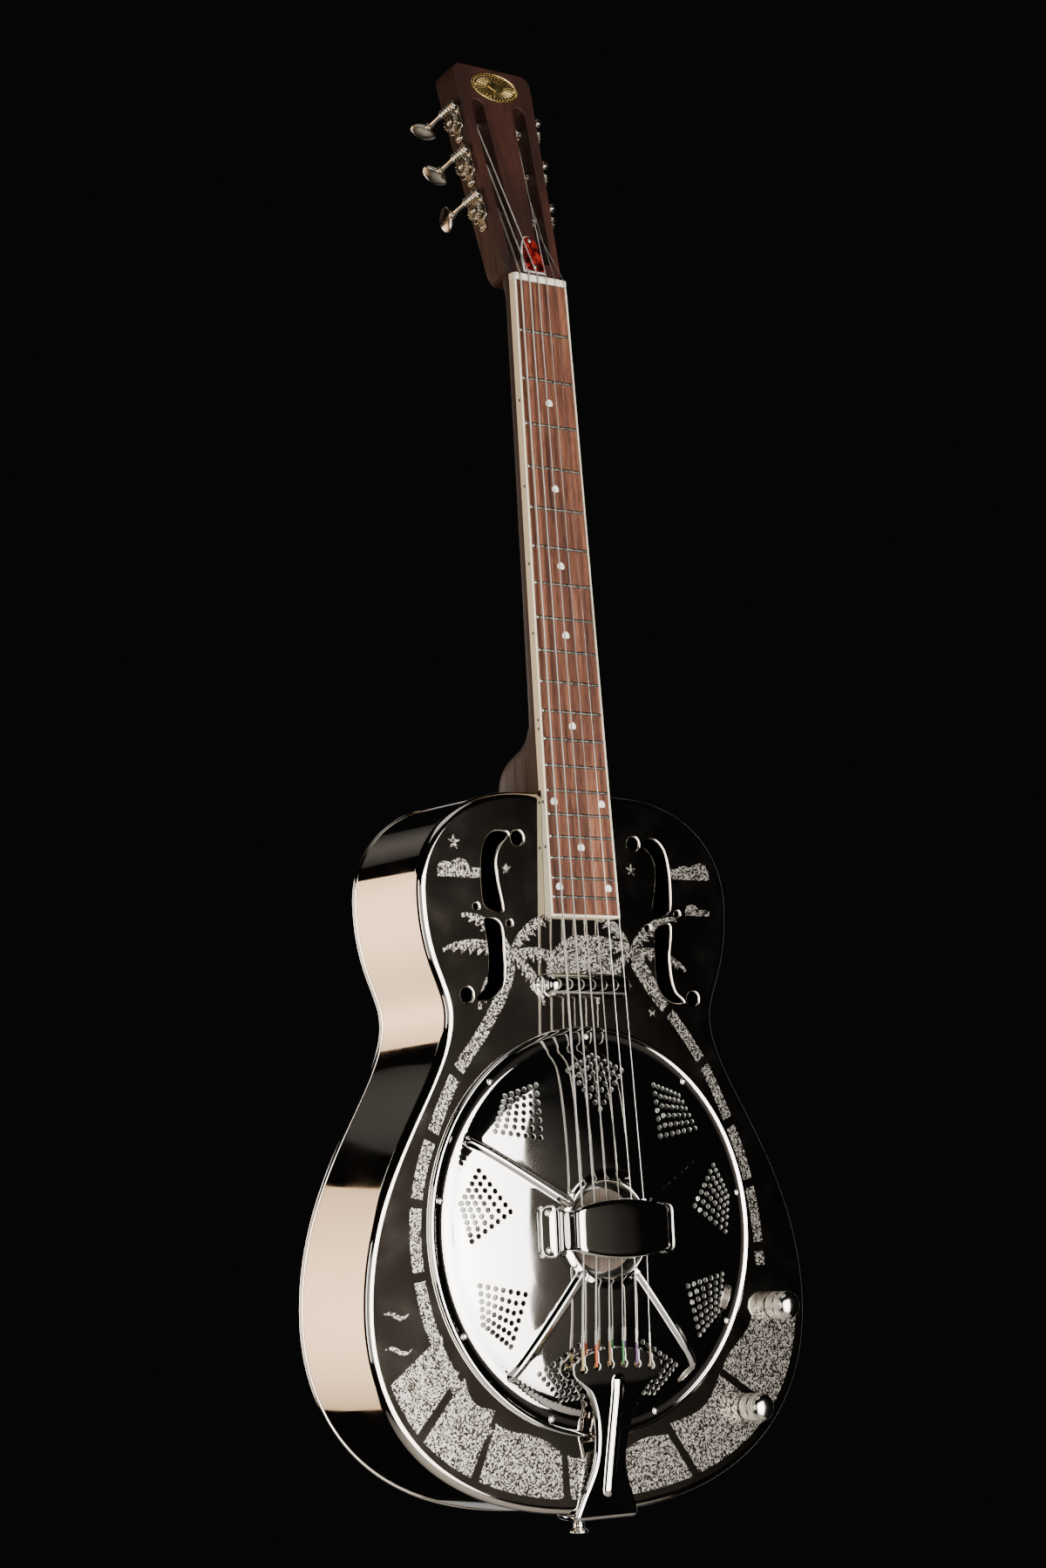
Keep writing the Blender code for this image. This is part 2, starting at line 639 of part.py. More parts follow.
def board_shape(margin, low_z):
    """The fretboard's wedge: full thickness over the neck, planed to lie on the body past its edge."""
    edge_z = BODY_TOP_Z + 1.5 * MM
    profile = [(low_z, board_top(low_z)), (NUT_Z, board_top(NUT_Z))]
    profile += [(NUT_Z, board_top(NUT_Z) + BOARD_THICKNESS)]
    profile += [(edge_z, board_top(edge_z) + BOARD_THICKNESS), (edge_z, -GAP), (low_z, -GAP)]
    right = [(board_half_width(z) - margin, y, z) for z, y in profile]
    left = [(-x, y, z) for x, y, z in right]
    return loft([left, right])


def board_core():
    """What is cut from the outer wedge to leave the binding: deeper than the board and past the nut."""
    spare = 3 * MM
    rings = []
    for z in (BOARD_END_Z + BINDING, NUT_Z + spare):
        half = board_half_width(z) - BINDING
        front = board_top(z) - spare
        back = board_top(z) + BOARD_THICKNESS + spare
        rings.append([(-half, front, z), (half, front, z), (half, back, z), (-half, back, z)])
    return loft(rings)


def make_fretboard(parent):
    rosewood = material("rosewood", (0.22, 0.10, 0.06), 0.45)
    ivory = material("ivory_plastic", (0.86, 0.80, 0.66), 0.35)
    margin = BINDING + GAP / 2
    add("fretboard", board_shape(margin, BOARD_END_Z + margin), rosewood, parent)
    binding = combine(board_shape(0, BOARD_END_Z), ("DIFFERENCE", board_core()))
    add("fretboard_binding", binding, ivory, parent)


def make_neck_fittings(parent):
    ivory = material("bone", (0.88, 0.84, 0.72), 0.35)
    steel = material("rod_steel", (0.4, 0.4, 0.4), 0.5, 1.0)
    tortoise = material("tortoise", (0.28, 0.02, 0.02), 0.2)
    brass = material("brass", (0.72, 0.56, 0.24), 0.3, 1.0)
    half = NUT_HALF_WIDTH
    low = NUT_Z + GAP
    high = NUT_Z + 5.2 * MM
    front = BOARD_TOP_AT_NUT - 1.2 * MM
    back = board_top(high) + BOARD_THICKNESS
    corner = 2 * MM
    profile = [(-half, back), (half, back), (half, front + corner), (half - corner, front)]
    profile += [(corner - half, front), (-half, front + corner)]
    near = [(x, y, low) for x, y in profile]
    far = [(x, y, high) for x, y in profile]
    add("nut", loft([near, far]), ivory, parent)
    add("truss_rod", rod_shape(0, 0), steel, parent)
    cover = [(-9.5, 9), (9.5, 9), (9.5, 20), (5, 36), (3, 38), (-3, 38), (-5, 36), (-9.5, 20)]
    outline = [(x * MM, s * MM) for x, s in cover]
    add("truss_rod_cover", plate(outline, -2.5 * MM, -GAP), tortoise, parent, head_matrix())
    rings = []
    for grow, height in ((1, 0), (1, 0.8), (0.93, 1.3)):
        oval = [
            (21 * MM * grow * math.cos(a), -height * MM - GAP, 160 * MM + 11.8 * MM * grow * math.sin(a))
            for a in (2 * math.pi * k / 28 for k in range(28))
        ]
        rings.append(oval)
    add("badge", loft(rings), brass, parent, head_matrix())


# ---------------------------------------------------------------- tuners

GEAR_TEETH = 16
GEAR_TIP = 7 * MM
GEAR_ROOT = 5.8 * MM
GEAR_INNER_X = 3 * MM
GEAR_OUTER_X = 6.2 * MM
WORM_RADIUS = 3 * MM
WORM_OFFSET = GEAR_TIP + WORM_RADIUS + GAP
WORM_X = (GEAR_INNER_X + GEAR_OUTER_X) / 2
SHAFT_RADIUS = 1.6 * MM
LUG_Z = 6 * MM
LUG_GAUGE = 1.2 * MM
BUTTON_START = 21.5 * MM
BUTTON_ANGLES = (70, 25, 60, 20, 35, 95)  # how each button happens to be turned at rest, in degrees


def tuner_plate(side):
    """The plate and its two lugs, which carry the worm's shaft on the side of the headstock's top."""
    up = -side
    base = 1.3 * MM
    ends = ((-12 * MM, 3.8 * MM), (15 * MM, 3.8 * MM))
    half_width = 7.4 * MM
    outline = []
    for centre, radius in ends:
        start = -math.pi if centre < 0 else 0
        for k in range(6):
            turn = start + math.pi * k / 5
            outline.append((radius * math.cos(turn), centre + radius * math.sin(turn)))
        if centre < 0:
            outline += [(half_width, -5 * MM), (half_width, 11 * MM)]
    outline += [(-half_width, 11 * MM), (-half_width, -5 * MM)]
    hole = circle(0, 0, POST_RADIUS + GAP, 12)
    flat = plate(outline, -base, -GAP, [hole])
    # The plate is drawn with x deep and z up the headstock, and then turned to the tuner's own axes.
    turn = Matrix(((0, -1, 0, 0), (0, 0, up, 0), (1, 0, 0, 0), (0, 0, 0, 1)))
    flat = moved(flat, turn)
    lug = [(base - 0.4 * MM, -3 * MM), (base - 0.4 * MM, 3 * MM), (WORM_X, 3.2 * MM)]
    lug += [(WORM_X + 2.6 * MM, 2 * MM), (WORM_X + 2.6 * MM, -2 * MM), (WORM_X, -3.2 * MM)]
    lug_outline = [(x, y + up * WORM_OFFSET) for x, y in lug]
    bearing = circle(WORM_X, up * WORM_OFFSET, SHAFT_RADIUS + GAP, 10)
    steps = []
    for z in (-LUG_Z - LUG_GAUGE, LUG_Z):
        upright = plate(lug_outline, z, z + LUG_GAUGE, [bearing])
        upright = moved(upright, Matrix(((1, 0, 0, 0), (0, 0, 1, 0), (0, 1, 0, 0), (0, 0, 0, 1))))
        steps.append(("UNION", upright))
    return combine(flat, *steps)


def gear_mesh():
    """The gear and the string post that it is fixed to, about local X."""
    outline = []
    for k in range(GEAR_TEETH):
        for share, radius in ((-0.28, GEAR_ROOT), (-0.12, GEAR_TIP), (0.12, GEAR_TIP), (0.28, GEAR_ROOT)):
            turn = 2 * math.pi * (k + share) / GEAR_TEETH
            outline.append((radius * math.cos(turn), radius * math.sin(turn)))
    wheel = plate(outline, GEAR_INNER_X, GEAR_OUTER_X)
    wheel = moved(wheel, Matrix.Rotation(-math.pi / 2, 4, "Z"))
    post = spun([(POST_RADIUS, -22.5 * MM), (POST_RADIUS, GEAR_INNER_X + 0.5 * MM)], 12)
    post.transform(FACING_RIGHT)
    return combine(wheel, ("UNION", post))


def worm_mesh():
    """The worm, its shaft through both lugs and the small head that keeps it in place."""
    outside = LUG_Z + LUG_GAUGE + GAP
    profile = [(2.3 * MM, -9 * MM), (2.3 * MM, -outside), (SHAFT_RADIUS, -outside)]
    profile += [(SHAFT_RADIUS, GAP - LUG_Z), (WORM_RADIUS, GAP - LUG_Z), (WORM_RADIUS, LUG_Z - GAP)]
    profile += [(SHAFT_RADIUS, LUG_Z - GAP), (SHAFT_RADIUS, BUTTON_START)]
    return spun(profile, 12)


def button_mesh():
    """A flat oval button with a round collar, along local Z."""
    start = BUTTON_START + GAP
    # Each slice: (distance from the collar, half width, half thickness)
    slices = [(0, 2.9, 2.9), (2.2, 2.9, 2.9), (3.2, 5, 2.3), (5.2, 8.6, 2.6), (8.6, 10, 2.8), (12, 8.8, 2.6)]
    slices += [(14.2, 5.4, 2.2), (15.2, 2, 1.2)]
    rings = []
    for distance, wide, thick in slices:
        ring = []
        for k in range(12):
            turn = 2 * math.pi * k / 12
            ring.append((wide * MM * math.cos(turn), thick * MM * math.sin(turn), start + distance * MM))
        rings.append(ring)
    return loft(rings)


def make_tuners(parent):
    nickel = material("nickel", (0.74, 0.70, 0.62), 0.22, 1.0)
    plates = {1: tuner_plate(1), -1: tuner_plate(-1)}
    gear = gear_mesh()
    worm = worm_mesh()
    button = button_mesh()
    for number in range(1, STRING_COUNT + 1):
        side, place = tuner_frame(number)
        worm_place = place @ Matrix.Translation((WORM_X, -side * WORM_OFFSET, 0))
        turned = worm_place @ Matrix.Rotation(math.radians(BUTTON_ANGLES[number - 1]), 4, "Z")
        add(f"tuner_plate_{number}", plates[side], nickel, parent, place)
        add(f"tuner_gear_{number}", gear, nickel, parent, place)
        add(f"tuner_worm_{number}", worm, nickel, parent, worm_place)
        add(f"tuner_button_{number}", button, nickel, parent, turned)


def make_strings(parent):
    wire = material("string_nickel", (0.72, 0.68, 0.62), 0.25, 1.0)
    for number in range(1, STRING_COUNT + 1):
        radius = STRING_RADII[number - 1]
        side, place = tuner_frame(number)
        anchor_x = string_x(number, TAIL_PITCH)
        anchor = Vector((anchor_x, TAIL_HEAD_Y + 2 * MM, -86 * MM))
        saddle = Vector((string_x(number, SADDLE_PITCH), STRING_Y_SADDLE, SADDLE_Z))
        nut = Vector((string_x(number, NUT_PITCH), STRING_Y_NUT, NUT_Z + 4.9 * MM))
        s = TUNER_S[number - 1 if side > 0 else STRING_COUNT - number]
        wrap_x = side * (slot_centre(s) - (0 if number in (3, 4) else 1) * MM)
        post = head_point(wrap_x, s - 1.2 * MM, TUNER_DEPTH - POST_RADIUS - radius - GAP)
        add(f"string_{number}", tube([anchor, saddle, nut, post], radius), wire, parent)


# ---------------------------------------------------------------- electrics


def make_pickup(parent):
    """A tube with a flat open back over its base plate, and the coil inside it."""
    chrome = material("chrome", (0.82, 0.82, 0.82), 0.06, 1.0)
    copper = material("coil", (0.35, 0.12, 0.05), 0.5)
    axis_y = -3.5 * MM
    radius = 8 * MM
    wall = 0.8 * MM
    cut_y = -1.4 * MM

    def shell(distance, length):
        ends = [(-length, 0.35), (-length + 1.6 * MM, 0.8), (-length + 4 * MM, 1)]
        ends += [(-x, share) for x, share in reversed(ends)]
        rings = []
        for x, share in ends:
            size = (radius - distance) * share
            turn = [2 * math.pi * k / 16 for k in range(16)]
            rings.append([(x, axis_y + size * math.cos(a), PICKUP_Z + size * math.sin(a)) for a in turn])
        return loft(rings)

    reach = 35 * MM + CUT
    floor = box((-reach, cut_y, PICKUP_Z - radius - CUT), (reach, CUT, PICKUP_Z + radius + CUT))
    cover = combine(shell(0, 35 * MM), ("DIFFERENCE", shell(wall, 34 * MM)), ("DIFFERENCE", floor))
    add("pickup_cover", cover, chrome, parent)
    half = 4.5 * MM
    coil = box((-29 * MM, axis_y - half, PICKUP_Z - half), (29 * MM, cut_y - GAP, PICKUP_Z + half))
    add("pickup_coil", coil, copper, parent)
    ear_x = 37.5 * MM
    ear = 5.4 * MM
    outline = []
    for side in (1, -1):
        for k in range(9):
            turn = -side * math.pi / 2 + math.pi * k / 8
            outline.append((side * ear_x + ear * math.cos(turn), PICKUP_Z + ear * math.sin(turn)))
    add("pickup_base", plate(outline, cut_y + GAP, -GAP), chrome, parent)


def make_controls(parent):
    chrome = material("chrome", (0.82, 0.82, 0.82), 0.06, 1.0)
    steel = material("pot_steel", (0.6, 0.6, 0.58), 0.35, 1.0)
    shaft_top = 12 * MM
    shaft = [(SHAFT_OF_POT, 3 * MM + GAP), (SHAFT_OF_POT, shaft_top)]
    pot = [(12 * MM, -11 * MM), (12 * MM, -2.4 * MM), (POT_BUSHING, -2.4 * MM), (POT_BUSHING, 3 * MM)]
    knob = knob_mesh(shaft_top + GAP)
    for name, (x, z) in KNOB_CENTRES.items():
        place = Matrix.Translation((x, 0, z)) @ FACING_FRONT
        add(f"{name}_knob", knob, chrome, parent, place)
        add(f"{name}_shaft", spun(shaft, 12), steel, parent, place)
        add(f"{name}_pot", spun(pot, 16), steel, parent, place)


def knob_mesh(bore_depth):
    """A domed knob, solid but for a recess over the pot's bushing and the bore that its shaft fills."""
    profile = [(KNOB_RADIUS, 0.6 * MM), (9.3 * MM, 15.6 * MM), (8.6 * MM, 16.6 * MM), (7.4 * MM, 18 * MM)]
    profile += [(4.5 * MM, 19.2 * MM), (1.5 * MM, 19.6 * MM)]
    recess = spun([(POT_BUSHING + 0.8 * MM, -1 * MM), (POT_BUSHING + 0.8 * MM, 4.4 * MM)], 12)
    bore = spun([(SHAFT_OF_POT + GAP, -1 * MM), (SHAFT_OF_POT + GAP, bore_depth)], 12)
    return combine(spun(profile, 20), ("DIFFERENCE", recess), ("DIFFERENCE", bore))


def make_jack(parent):
    """A socket through the treble side, with a round plate outside and its barrel inside."""
    chrome = material("chrome", (0.82, 0.82, 0.82), 0.06, 1.0)
    face = LOWER_BOUT[0] - 1.0 * MM + GAP
    profile = [(3.4 * MM, face + 3 * MM), (5.4 * MM, face + 3 * MM), (5.4 * MM, face + 1.2 * MM)]
    profile += [(11 * MM, face + 1.2 * MM), (11 * MM, face), (5.1 * MM, face), (5.1 * MM, face - 24 * MM)]
    profile += [(3.4 * MM, face - 24 * MM)]
    place = Matrix.Translation((0, JACK_Y, JACK_Z)) @ FACING_RIGHT
    add("output_jack", spun(profile, 16, ring=True), chrome, parent, place)


# ---------------------------------------------------------------- assembly


def build():
    clear_scene()
    guitar = bpy.data.objects.new("guitar", None)
    guitar.location = -HANGER
    bpy.context.scene.collection.objects.link(guitar)
    make_body(guitar)
    make_resonator(guitar)
    make_coverplate(guitar)
    make_handrest(guitar)
    make_tailpiece(guitar)
    make_strap_button(guitar)
    make_neck(guitar)
    make_fretboard(guitar)
    make_neck_fittings(guitar)
    make_tuners(guitar)
    make_strings(guitar)
    make_pickup(guitar)
    make_controls(guitar)
    make_jack(guitar)


build()
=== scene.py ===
"""Finishes the resonator guitar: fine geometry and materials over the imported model, then light and camera.

Shapes are drawn in millimetres from the centre of the coverplate on the body's top, as in the model's source:
+X is the treble side, -Y the front and +Z runs up the neck. piece() turns them into the row's frame.
"""

import math

import bmesh
import bpy
from mathutils import Matrix, Vector
from mathutils.geometry import delaunay_2d_cdt
from mathutils.kdtree import KDTree


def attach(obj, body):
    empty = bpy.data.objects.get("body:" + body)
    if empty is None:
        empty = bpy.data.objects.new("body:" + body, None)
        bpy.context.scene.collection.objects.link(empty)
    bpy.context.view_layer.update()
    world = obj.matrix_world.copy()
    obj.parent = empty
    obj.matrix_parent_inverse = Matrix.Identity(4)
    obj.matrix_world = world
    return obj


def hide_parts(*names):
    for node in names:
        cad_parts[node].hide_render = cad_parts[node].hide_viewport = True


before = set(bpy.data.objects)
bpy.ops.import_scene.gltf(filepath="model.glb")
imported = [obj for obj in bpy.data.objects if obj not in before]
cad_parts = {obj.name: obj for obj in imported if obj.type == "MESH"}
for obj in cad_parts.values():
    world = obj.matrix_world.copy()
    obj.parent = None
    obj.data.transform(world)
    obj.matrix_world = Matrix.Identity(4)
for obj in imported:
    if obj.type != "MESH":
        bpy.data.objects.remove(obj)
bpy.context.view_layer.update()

MM = 0.001
HANGER = Vector((0, 26, 648))  # the row's origin, seen from the centre of the coverplate
PI = math.pi
TURN = 2 * math.pi

# ---------------------------------------------------------------- dimensions shared with the model's source

BODY_DEPTH = 80
SHEET = 0.9  # gauge of the pressed metal
UPPER_BOUT = (132.5, 222)
WAIST = (114, 142)
LOWER_BOUT = (186, -50)
BODY_TOP_Z = 293
BODY_END_Z = -184
BODY_FLAT = 40
SADDLE_Z = 1.5
NUT_Z = 653.5
SCALE_LENGTH = 648
BOARD_THICKNESS = 6
BOARD_TOP_AT_NUT = 10.8  # depth of the fretboard's face behind the body's top, at the nut
NECK_SLOPE = 0.0408  # rise of the fretboard towards the front for each millimetre down the neck
BOARD_TAPER = 0.0152  # growth of the fretboard's half width for each millimetre down the neck
NUT_HALF_WIDTH = 22.8
HEAD_ANGLE = math.radians(14)
HEAD_ORIGIN = Vector((0, 15, NUT_Z))
HEAD_UP = Vector((0, math.sin(HEAD_ANGLE), math.cos(HEAD_ANGLE)))
HEAD_BACK = Vector((0, math.cos(HEAD_ANGLE), -math.sin(HEAD_ANGLE)))
HEAD_HALF_FOOT = 24.5
HEAD_HALF_TOP = 34.5
HEAD_FOOT_S = 10
HEAD_SHOULDER_S = 165
HEAD_LENGTH = 176
HEAD_THICKNESS = 22
TUNER_S = (60.5, 96, 131.5)
TUNER_DEPTH = 11
SLOT_HALF_WIDTH = 5.3
POST_RADIUS = 3
STRING_RADII = (0.2, 0.23, 0.33, 0.46, 0.58, 0.71)
TAIL_PITCH, SADDLE_PITCH, NUT_PITCH = 11.4, 10.6, 7.6  # the strings' spacing
STRING_Y_SADDLE = -22.6
KNOB_CENTRES = {"volume": (156.5, -56), "tone": (128, -123.5)}
PICKUP_Z = 162.8
LIP_RADIUS = 1.3  # of the bend round each hole in the body

FACING_FRONT = Matrix.Rotation(PI / 2, 4, "X")
FACING_RIGHT = Matrix.Rotation(PI / 2, 4, "Y")
FACING_DOWN = Matrix.Rotation(PI, 4, "X")

SIDE_NAMES = {-1: "left", 1: "right"}


def at(x, y, z):
    return Matrix.Translation((x, y, z))


def spin(angle):
    return Matrix.Rotation(angle, 4, "Z")


def unit(turn):
    return Vector((math.cos(turn), math.sin(turn)))


def arc(x, z, radius, start, sweep, count):
    """count + 1 points along an arc that begins at the angle start."""
    turns = [start + sweep * k / count for k in range(count + 1)]
    return [(x + radius * math.cos(turn), z + radius * math.sin(turn)) for turn in turns]


def circle(x, z, radius, count):
    return arc(x, z, radius, 0, TURN, count)[:-1]


def ellipse(width, height, count):
    turns = [TURN * k / count for k in range(count)]
    return [(width * math.cos(turn), height * math.sin(turn)) for turn in turns]


def mirrored(half, first=0, last=0):
    """A half's points and then, backwards, their mirror images in X, less some at its first and last end."""
    return half + [(-x, *rest) for x, *rest in reversed(half[first:len(half) - last])]


def neighbours(items, k):
    """The items before and after item k. At an end, item k stands in for the missing one."""
    return items[max(k - 1, 0)], items[min(k + 1, len(items) - 1)]


def heading(points, k):
    """The direction of travel at point k in the first two coordinates."""
    before, after = neighbours(points, k)
    return Vector((after[0] - before[0], after[1] - before[1])).normalized()


def add_object(name, data):
    item = bpy.data.objects.new(name, data)
    bpy.context.scene.collection.objects.link(item)
    return item


# ---------------------------------------------------------------- materials


def new_material(name, color, roughness, metallic=0.0, **sockets):
    """A Principled material and its shader node. Extra sockets are given by name with _ for a space."""
    mat = bpy.data.materials.new(name)
    mat.use_nodes = True
    shader = mat.node_tree.nodes["Principled BSDF"]
    shader.inputs["Base Color"].default_value = (*color, 1.0)
    shader.inputs["Roughness"].default_value = roughness
    shader.inputs["Metallic"].default_value = metallic
    for key, value in sockets.items():
        shader.inputs[key.replace("_", " ")].default_value = value
    return mat, shader


def node(mat, kind, **values):
    """A shader node of that kind. A value whose name is a socket sets it, and any other sets an attribute."""
    item = mat.node_tree.nodes.new("ShaderNode" + kind)
    for key, value in values.items():
        label = key.replace("_", " ")
        if hasattr(item, key):
            setattr(item, key, value)
        else:
            item.inputs[label].default_value = value
    return item


def link(mat, source, target):
    mat.node_tree.links.new(source, target)


def coords(mat, scale=(1, 1, 1), kind="Object"):
    """Texture coordinates in metres, stretched by scale."""
    source = node(mat, "TexCoord")
    mapping = node(mat, "Mapping")
    mapping.inputs["Scale"].default_value = scale
    link(mat, source.outputs[kind], mapping.inputs["Vector"])
    return mapping.outputs["Vector"]


def ramp(mat, source, stops):
    """A colour ramp over (position, colour) stops."""
    item = node(mat, "ValToRGB")
    while len(item.color_ramp.elements) < len(stops):
        item.color_ramp.elements.new(0.5)
    for element, (position, color) in zip(item.color_ramp.elements, stops):
        element.position = position
        element.color = (*color, 1.0)
    link(mat, source, item.inputs["Fac"])
    return item.outputs["Color"]


def spread(mat, source, low, high, start=0.0, end=1.0):
    """The source's value from start to end, turned into low to high."""
    item = node(mat, "MapRange", From_Min=start, From_Max=end, To_Min=low, To_Max=high)
    link(mat, source, item.inputs["Value"])
    return item.outputs["Result"]


def bump(mat, shader, source, strength, distance):
    item = node(mat, "Bump", Strength=strength, Distance=distance)
    link(mat, source, item.inputs["Height"])
    link(mat, item.outputs["Normal"], shader.inputs["Normal"])


def tint(mat, shader, source, stops):
    """Colours the surface by a ramp over the source."""
    link(mat, ramp(mat, source, stops), shader.inputs["Base Color"])


def gloss(mat, shader, source, low, high, start=0.0, end=1.0):
    """Varies the surface's roughness from low to high as the source goes from start to end."""
    link(mat, spread(mat, source, low, high, start, end), shader.inputs["Roughness"])


def noise(mat, vector, scale, detail=3.0):
    item = node(mat, "TexNoise", Scale=scale, Detail=detail)
    link(mat, vector, item.inputs["Vector"])
    return item.outputs["Fac"]


def polished(name, color, low, high, wave=0.0):
    """Plated metal: faint smears in its gloss, and a slow wave in the sheet if asked for."""
    mat, shader = new_material(name, color, low, 1.0)
    place = coords(mat)
    smear = noise(mat, place, 38.0, 5.0)
    gloss(mat, shader, smear, low, high, 0.35, 0.75)
    tint(mat, shader, noise(mat, place, 9.0), [(0.3, [c * 0.94 for c in color]), (0.62, color)])
    if wave:
        bump(mat, shader, noise(mat, place, 7.0, 1.0), wave, 0.002)
    return mat


def frosted_metal():
    """The etched pattern: stippled nickel that scatters light in bright and dark grains."""
    mat, shader = new_material("etched_nickel", (0.62, 0.58, 0.52), 0.28, 1.0)
    place = coords(mat)
    cells = node(mat, "TexVoronoi", Scale=950.0)
    link(mat, place, cells.inputs["Vector"])
    grain = cells.outputs["Color"]
    stops = [(0.34, (0.07, 0.06, 0.05)), (0.46, (0.50, 0.46, 0.41)), (0.58, (0.95, 0.90, 0.83))]
    tint(mat, shader, grain, stops)
    gloss(mat, shader, grain, 0.20, 0.27, 0.3, 0.7)
    return mat


def wood(name, dark, mid, light, scale, roughness, coat, stretch=0.06, pores=0.5):
    """Streaky wood with its grain along Z and fine dark pores."""
    mat, shader = new_material(name, mid, roughness, 0.0, Coat_Weight=coat, Coat_Roughness=0.12,
                               Specular_IOR_Level=0.3)
    place = coords(mat, (1, 1, stretch))
    streaks = noise(mat, place, scale, 6.0)
    colors = ramp(mat, streaks, [(0.3, dark), (0.5, mid), (0.72, light)])
    fine = noise(mat, coords(mat, (1, 1, 0.025)), scale * 9, 3.0)
    mix = node(mat, "Mix", data_type="RGBA", blend_type="MULTIPLY")
    mix.inputs[0].default_value = pores
    link(mat, colors, mix.inputs[6])
    link(mat, ramp(mat, fine, [(0.36, (0.25, 0.2, 0.18)), (0.5, (1, 1, 1))]), mix.inputs[7])
    link(mat, mix.outputs[2], shader.inputs["Base Color"])
    gloss(mat, shader, fine, roughness + 0.15, roughness, 0.35, 0.5)
    bump(mat, shader, fine, 0.15, 0.0003)
    return mat


def plastic(name, color, roughness, variation):
    mat, shader = new_material(name, color, roughness, 0.0, Subsurface_Weight=0.06)
    place = coords(mat, (1, 1, 0.2))
    shade = noise(mat, place, 120.0, 4.0)
    tint(mat, shader, shade, [(0.3, [c * (1 - variation) for c in color]), (0.65, color)])
    gloss(mat, shader, noise(mat, place, 300.0), roughness, roughness + 0.12)
    return mat


def mottled(name, color, roughness, metallic, scale, detail, stops, **sockets):
    """A surface whose colour runs through the stops in soft patches."""
    mat, shader = new_material(name, color, roughness, metallic, **sockets)
    patches = noise(mat, coords(mat), scale, detail)
    tint(mat, shader, patches, stops)
    return mat, shader, patches


def antique_brass():
    """Brass with patches of dark patina."""
    stops = [(0.3, (0.30, 0.20, 0.07)), (0.5, (0.66, 0.48, 0.19)), (0.7, (0.80, 0.63, 0.30))]
    mat, shader, stain = mottled("antique_brass", (0.70, 0.52, 0.22), 0.3, 1.0, 260.0, 5.0, stops)
    gloss(mat, shader, stain, 0.42, 0.22, 0.3, 0.7)
    return mat


def aged_metal(name, clean, stained, low, high):
    mat, shader = new_material(name, clean, low, 1.0)
    place = coords(mat)
    stain = noise(mat, place, 150.0, 6.0)
    tint(mat, shader, stain, [(0.34, stained), (0.58, clean)])
    gloss(mat, shader, stain, high, low, 0.34, 0.6)
    bump(mat, shader, noise(mat, place, 900.0), 0.05, 0.0002)
    return mat


def wound_wire(name, color, pitch):
    """Wire wound round a core: rings along the string, from the V of its unwrapped surface in metres. The
    dark part of each ring is painted shade in the groove between turns.
    """
    mat, shader = new_material(name, color, 0.28, 1.0)
    source = node(mat, "TexCoord")
    rings = node(mat, "TexWave", Scale=TURN / (20 * pitch * MM), wave_type="BANDS", bands_direction="Y")
    link(mat, source.outputs["UV"], rings.inputs["Vector"])
    # Painted shade: the ramp darkens the grooves between the turns.
    tint(mat, shader, rings.outputs["Fac"], [(0.1, [c * 0.45 for c in color]), (0.6, color)])
    bump(mat, shader, rings.outputs["Fac"], 0.6, 0.0001)
    return mat


def turned_metal(name, color, scale):
    """Spun sheet: fine rings about the coverplate's axis."""
    mat, shader = new_material(name, color, 0.3, 1.0)
    place = coords(mat)
    shift = node(mat, "Mapping")
    shift.inputs["Location"].default_value = HANGER * MM
    link(mat, place, shift.inputs["Vector"])
    rings = node(mat, "TexWave", Scale=scale, Distortion=0.4, wave_type="RINGS", rings_direction="Y")
    link(mat, shift.outputs["Vector"], rings.inputs["Vector"])
    gloss(mat, shader, rings.outputs["Fac"], 0.22, 0.42)
    bump(mat, shader, rings.outputs["Fac"], 0.25, 0.0002)
    return mat


# Near-black matte for the body's inner faces and the rear of its sheets: painted shade, so the inside reads
# dark through the holes.
def shade_inside_material():
    mat, shader = new_material("painted_shade_inside", (0.012, 0.011, 0.010), 0.8)
    gloss(mat, shader, noise(mat, coords(mat), 60.0), 0.7, 0.9)
    return mat


NICKEL = polished("polished_nickel", (0.73, 0.68, 0.61), 0.035, 0.10, wave=0.10)
ETCHED = frosted_metal()
CHROME = polished("mirror_chrome", (0.80, 0.78, 0.75), 0.03, 0.07)
PLATED = polished("plated_parts", (0.78, 0.75, 0.70), 0.07, 0.16)
AGED = aged_metal("aged_nickel", (0.72, 0.67, 0.58), (0.36, 0.31, 0.24), 0.14, 0.34)
KNURLED = aged_metal("knurled_band", (0.80, 0.77, 0.71), (0.50, 0.47, 0.42), 0.30, 0.45)
# Painted shade for the inside of the body.
INSIDE_SHADE = shade_inside_material()
MAHOGANY = wood("mahogany", (0.011, 0.003, 0.002), (0.024, 0.006, 0.0035), (0.046, 0.013, 0.008), 60, 0.6,
                0.0)
ROSEWOOD = wood("rosewood", (0.030, 0.009, 0.005), (0.125, 0.043, 0.023), (0.27, 0.110, 0.060), 210, 0.55,
                0.0, 0.03, 0.85)
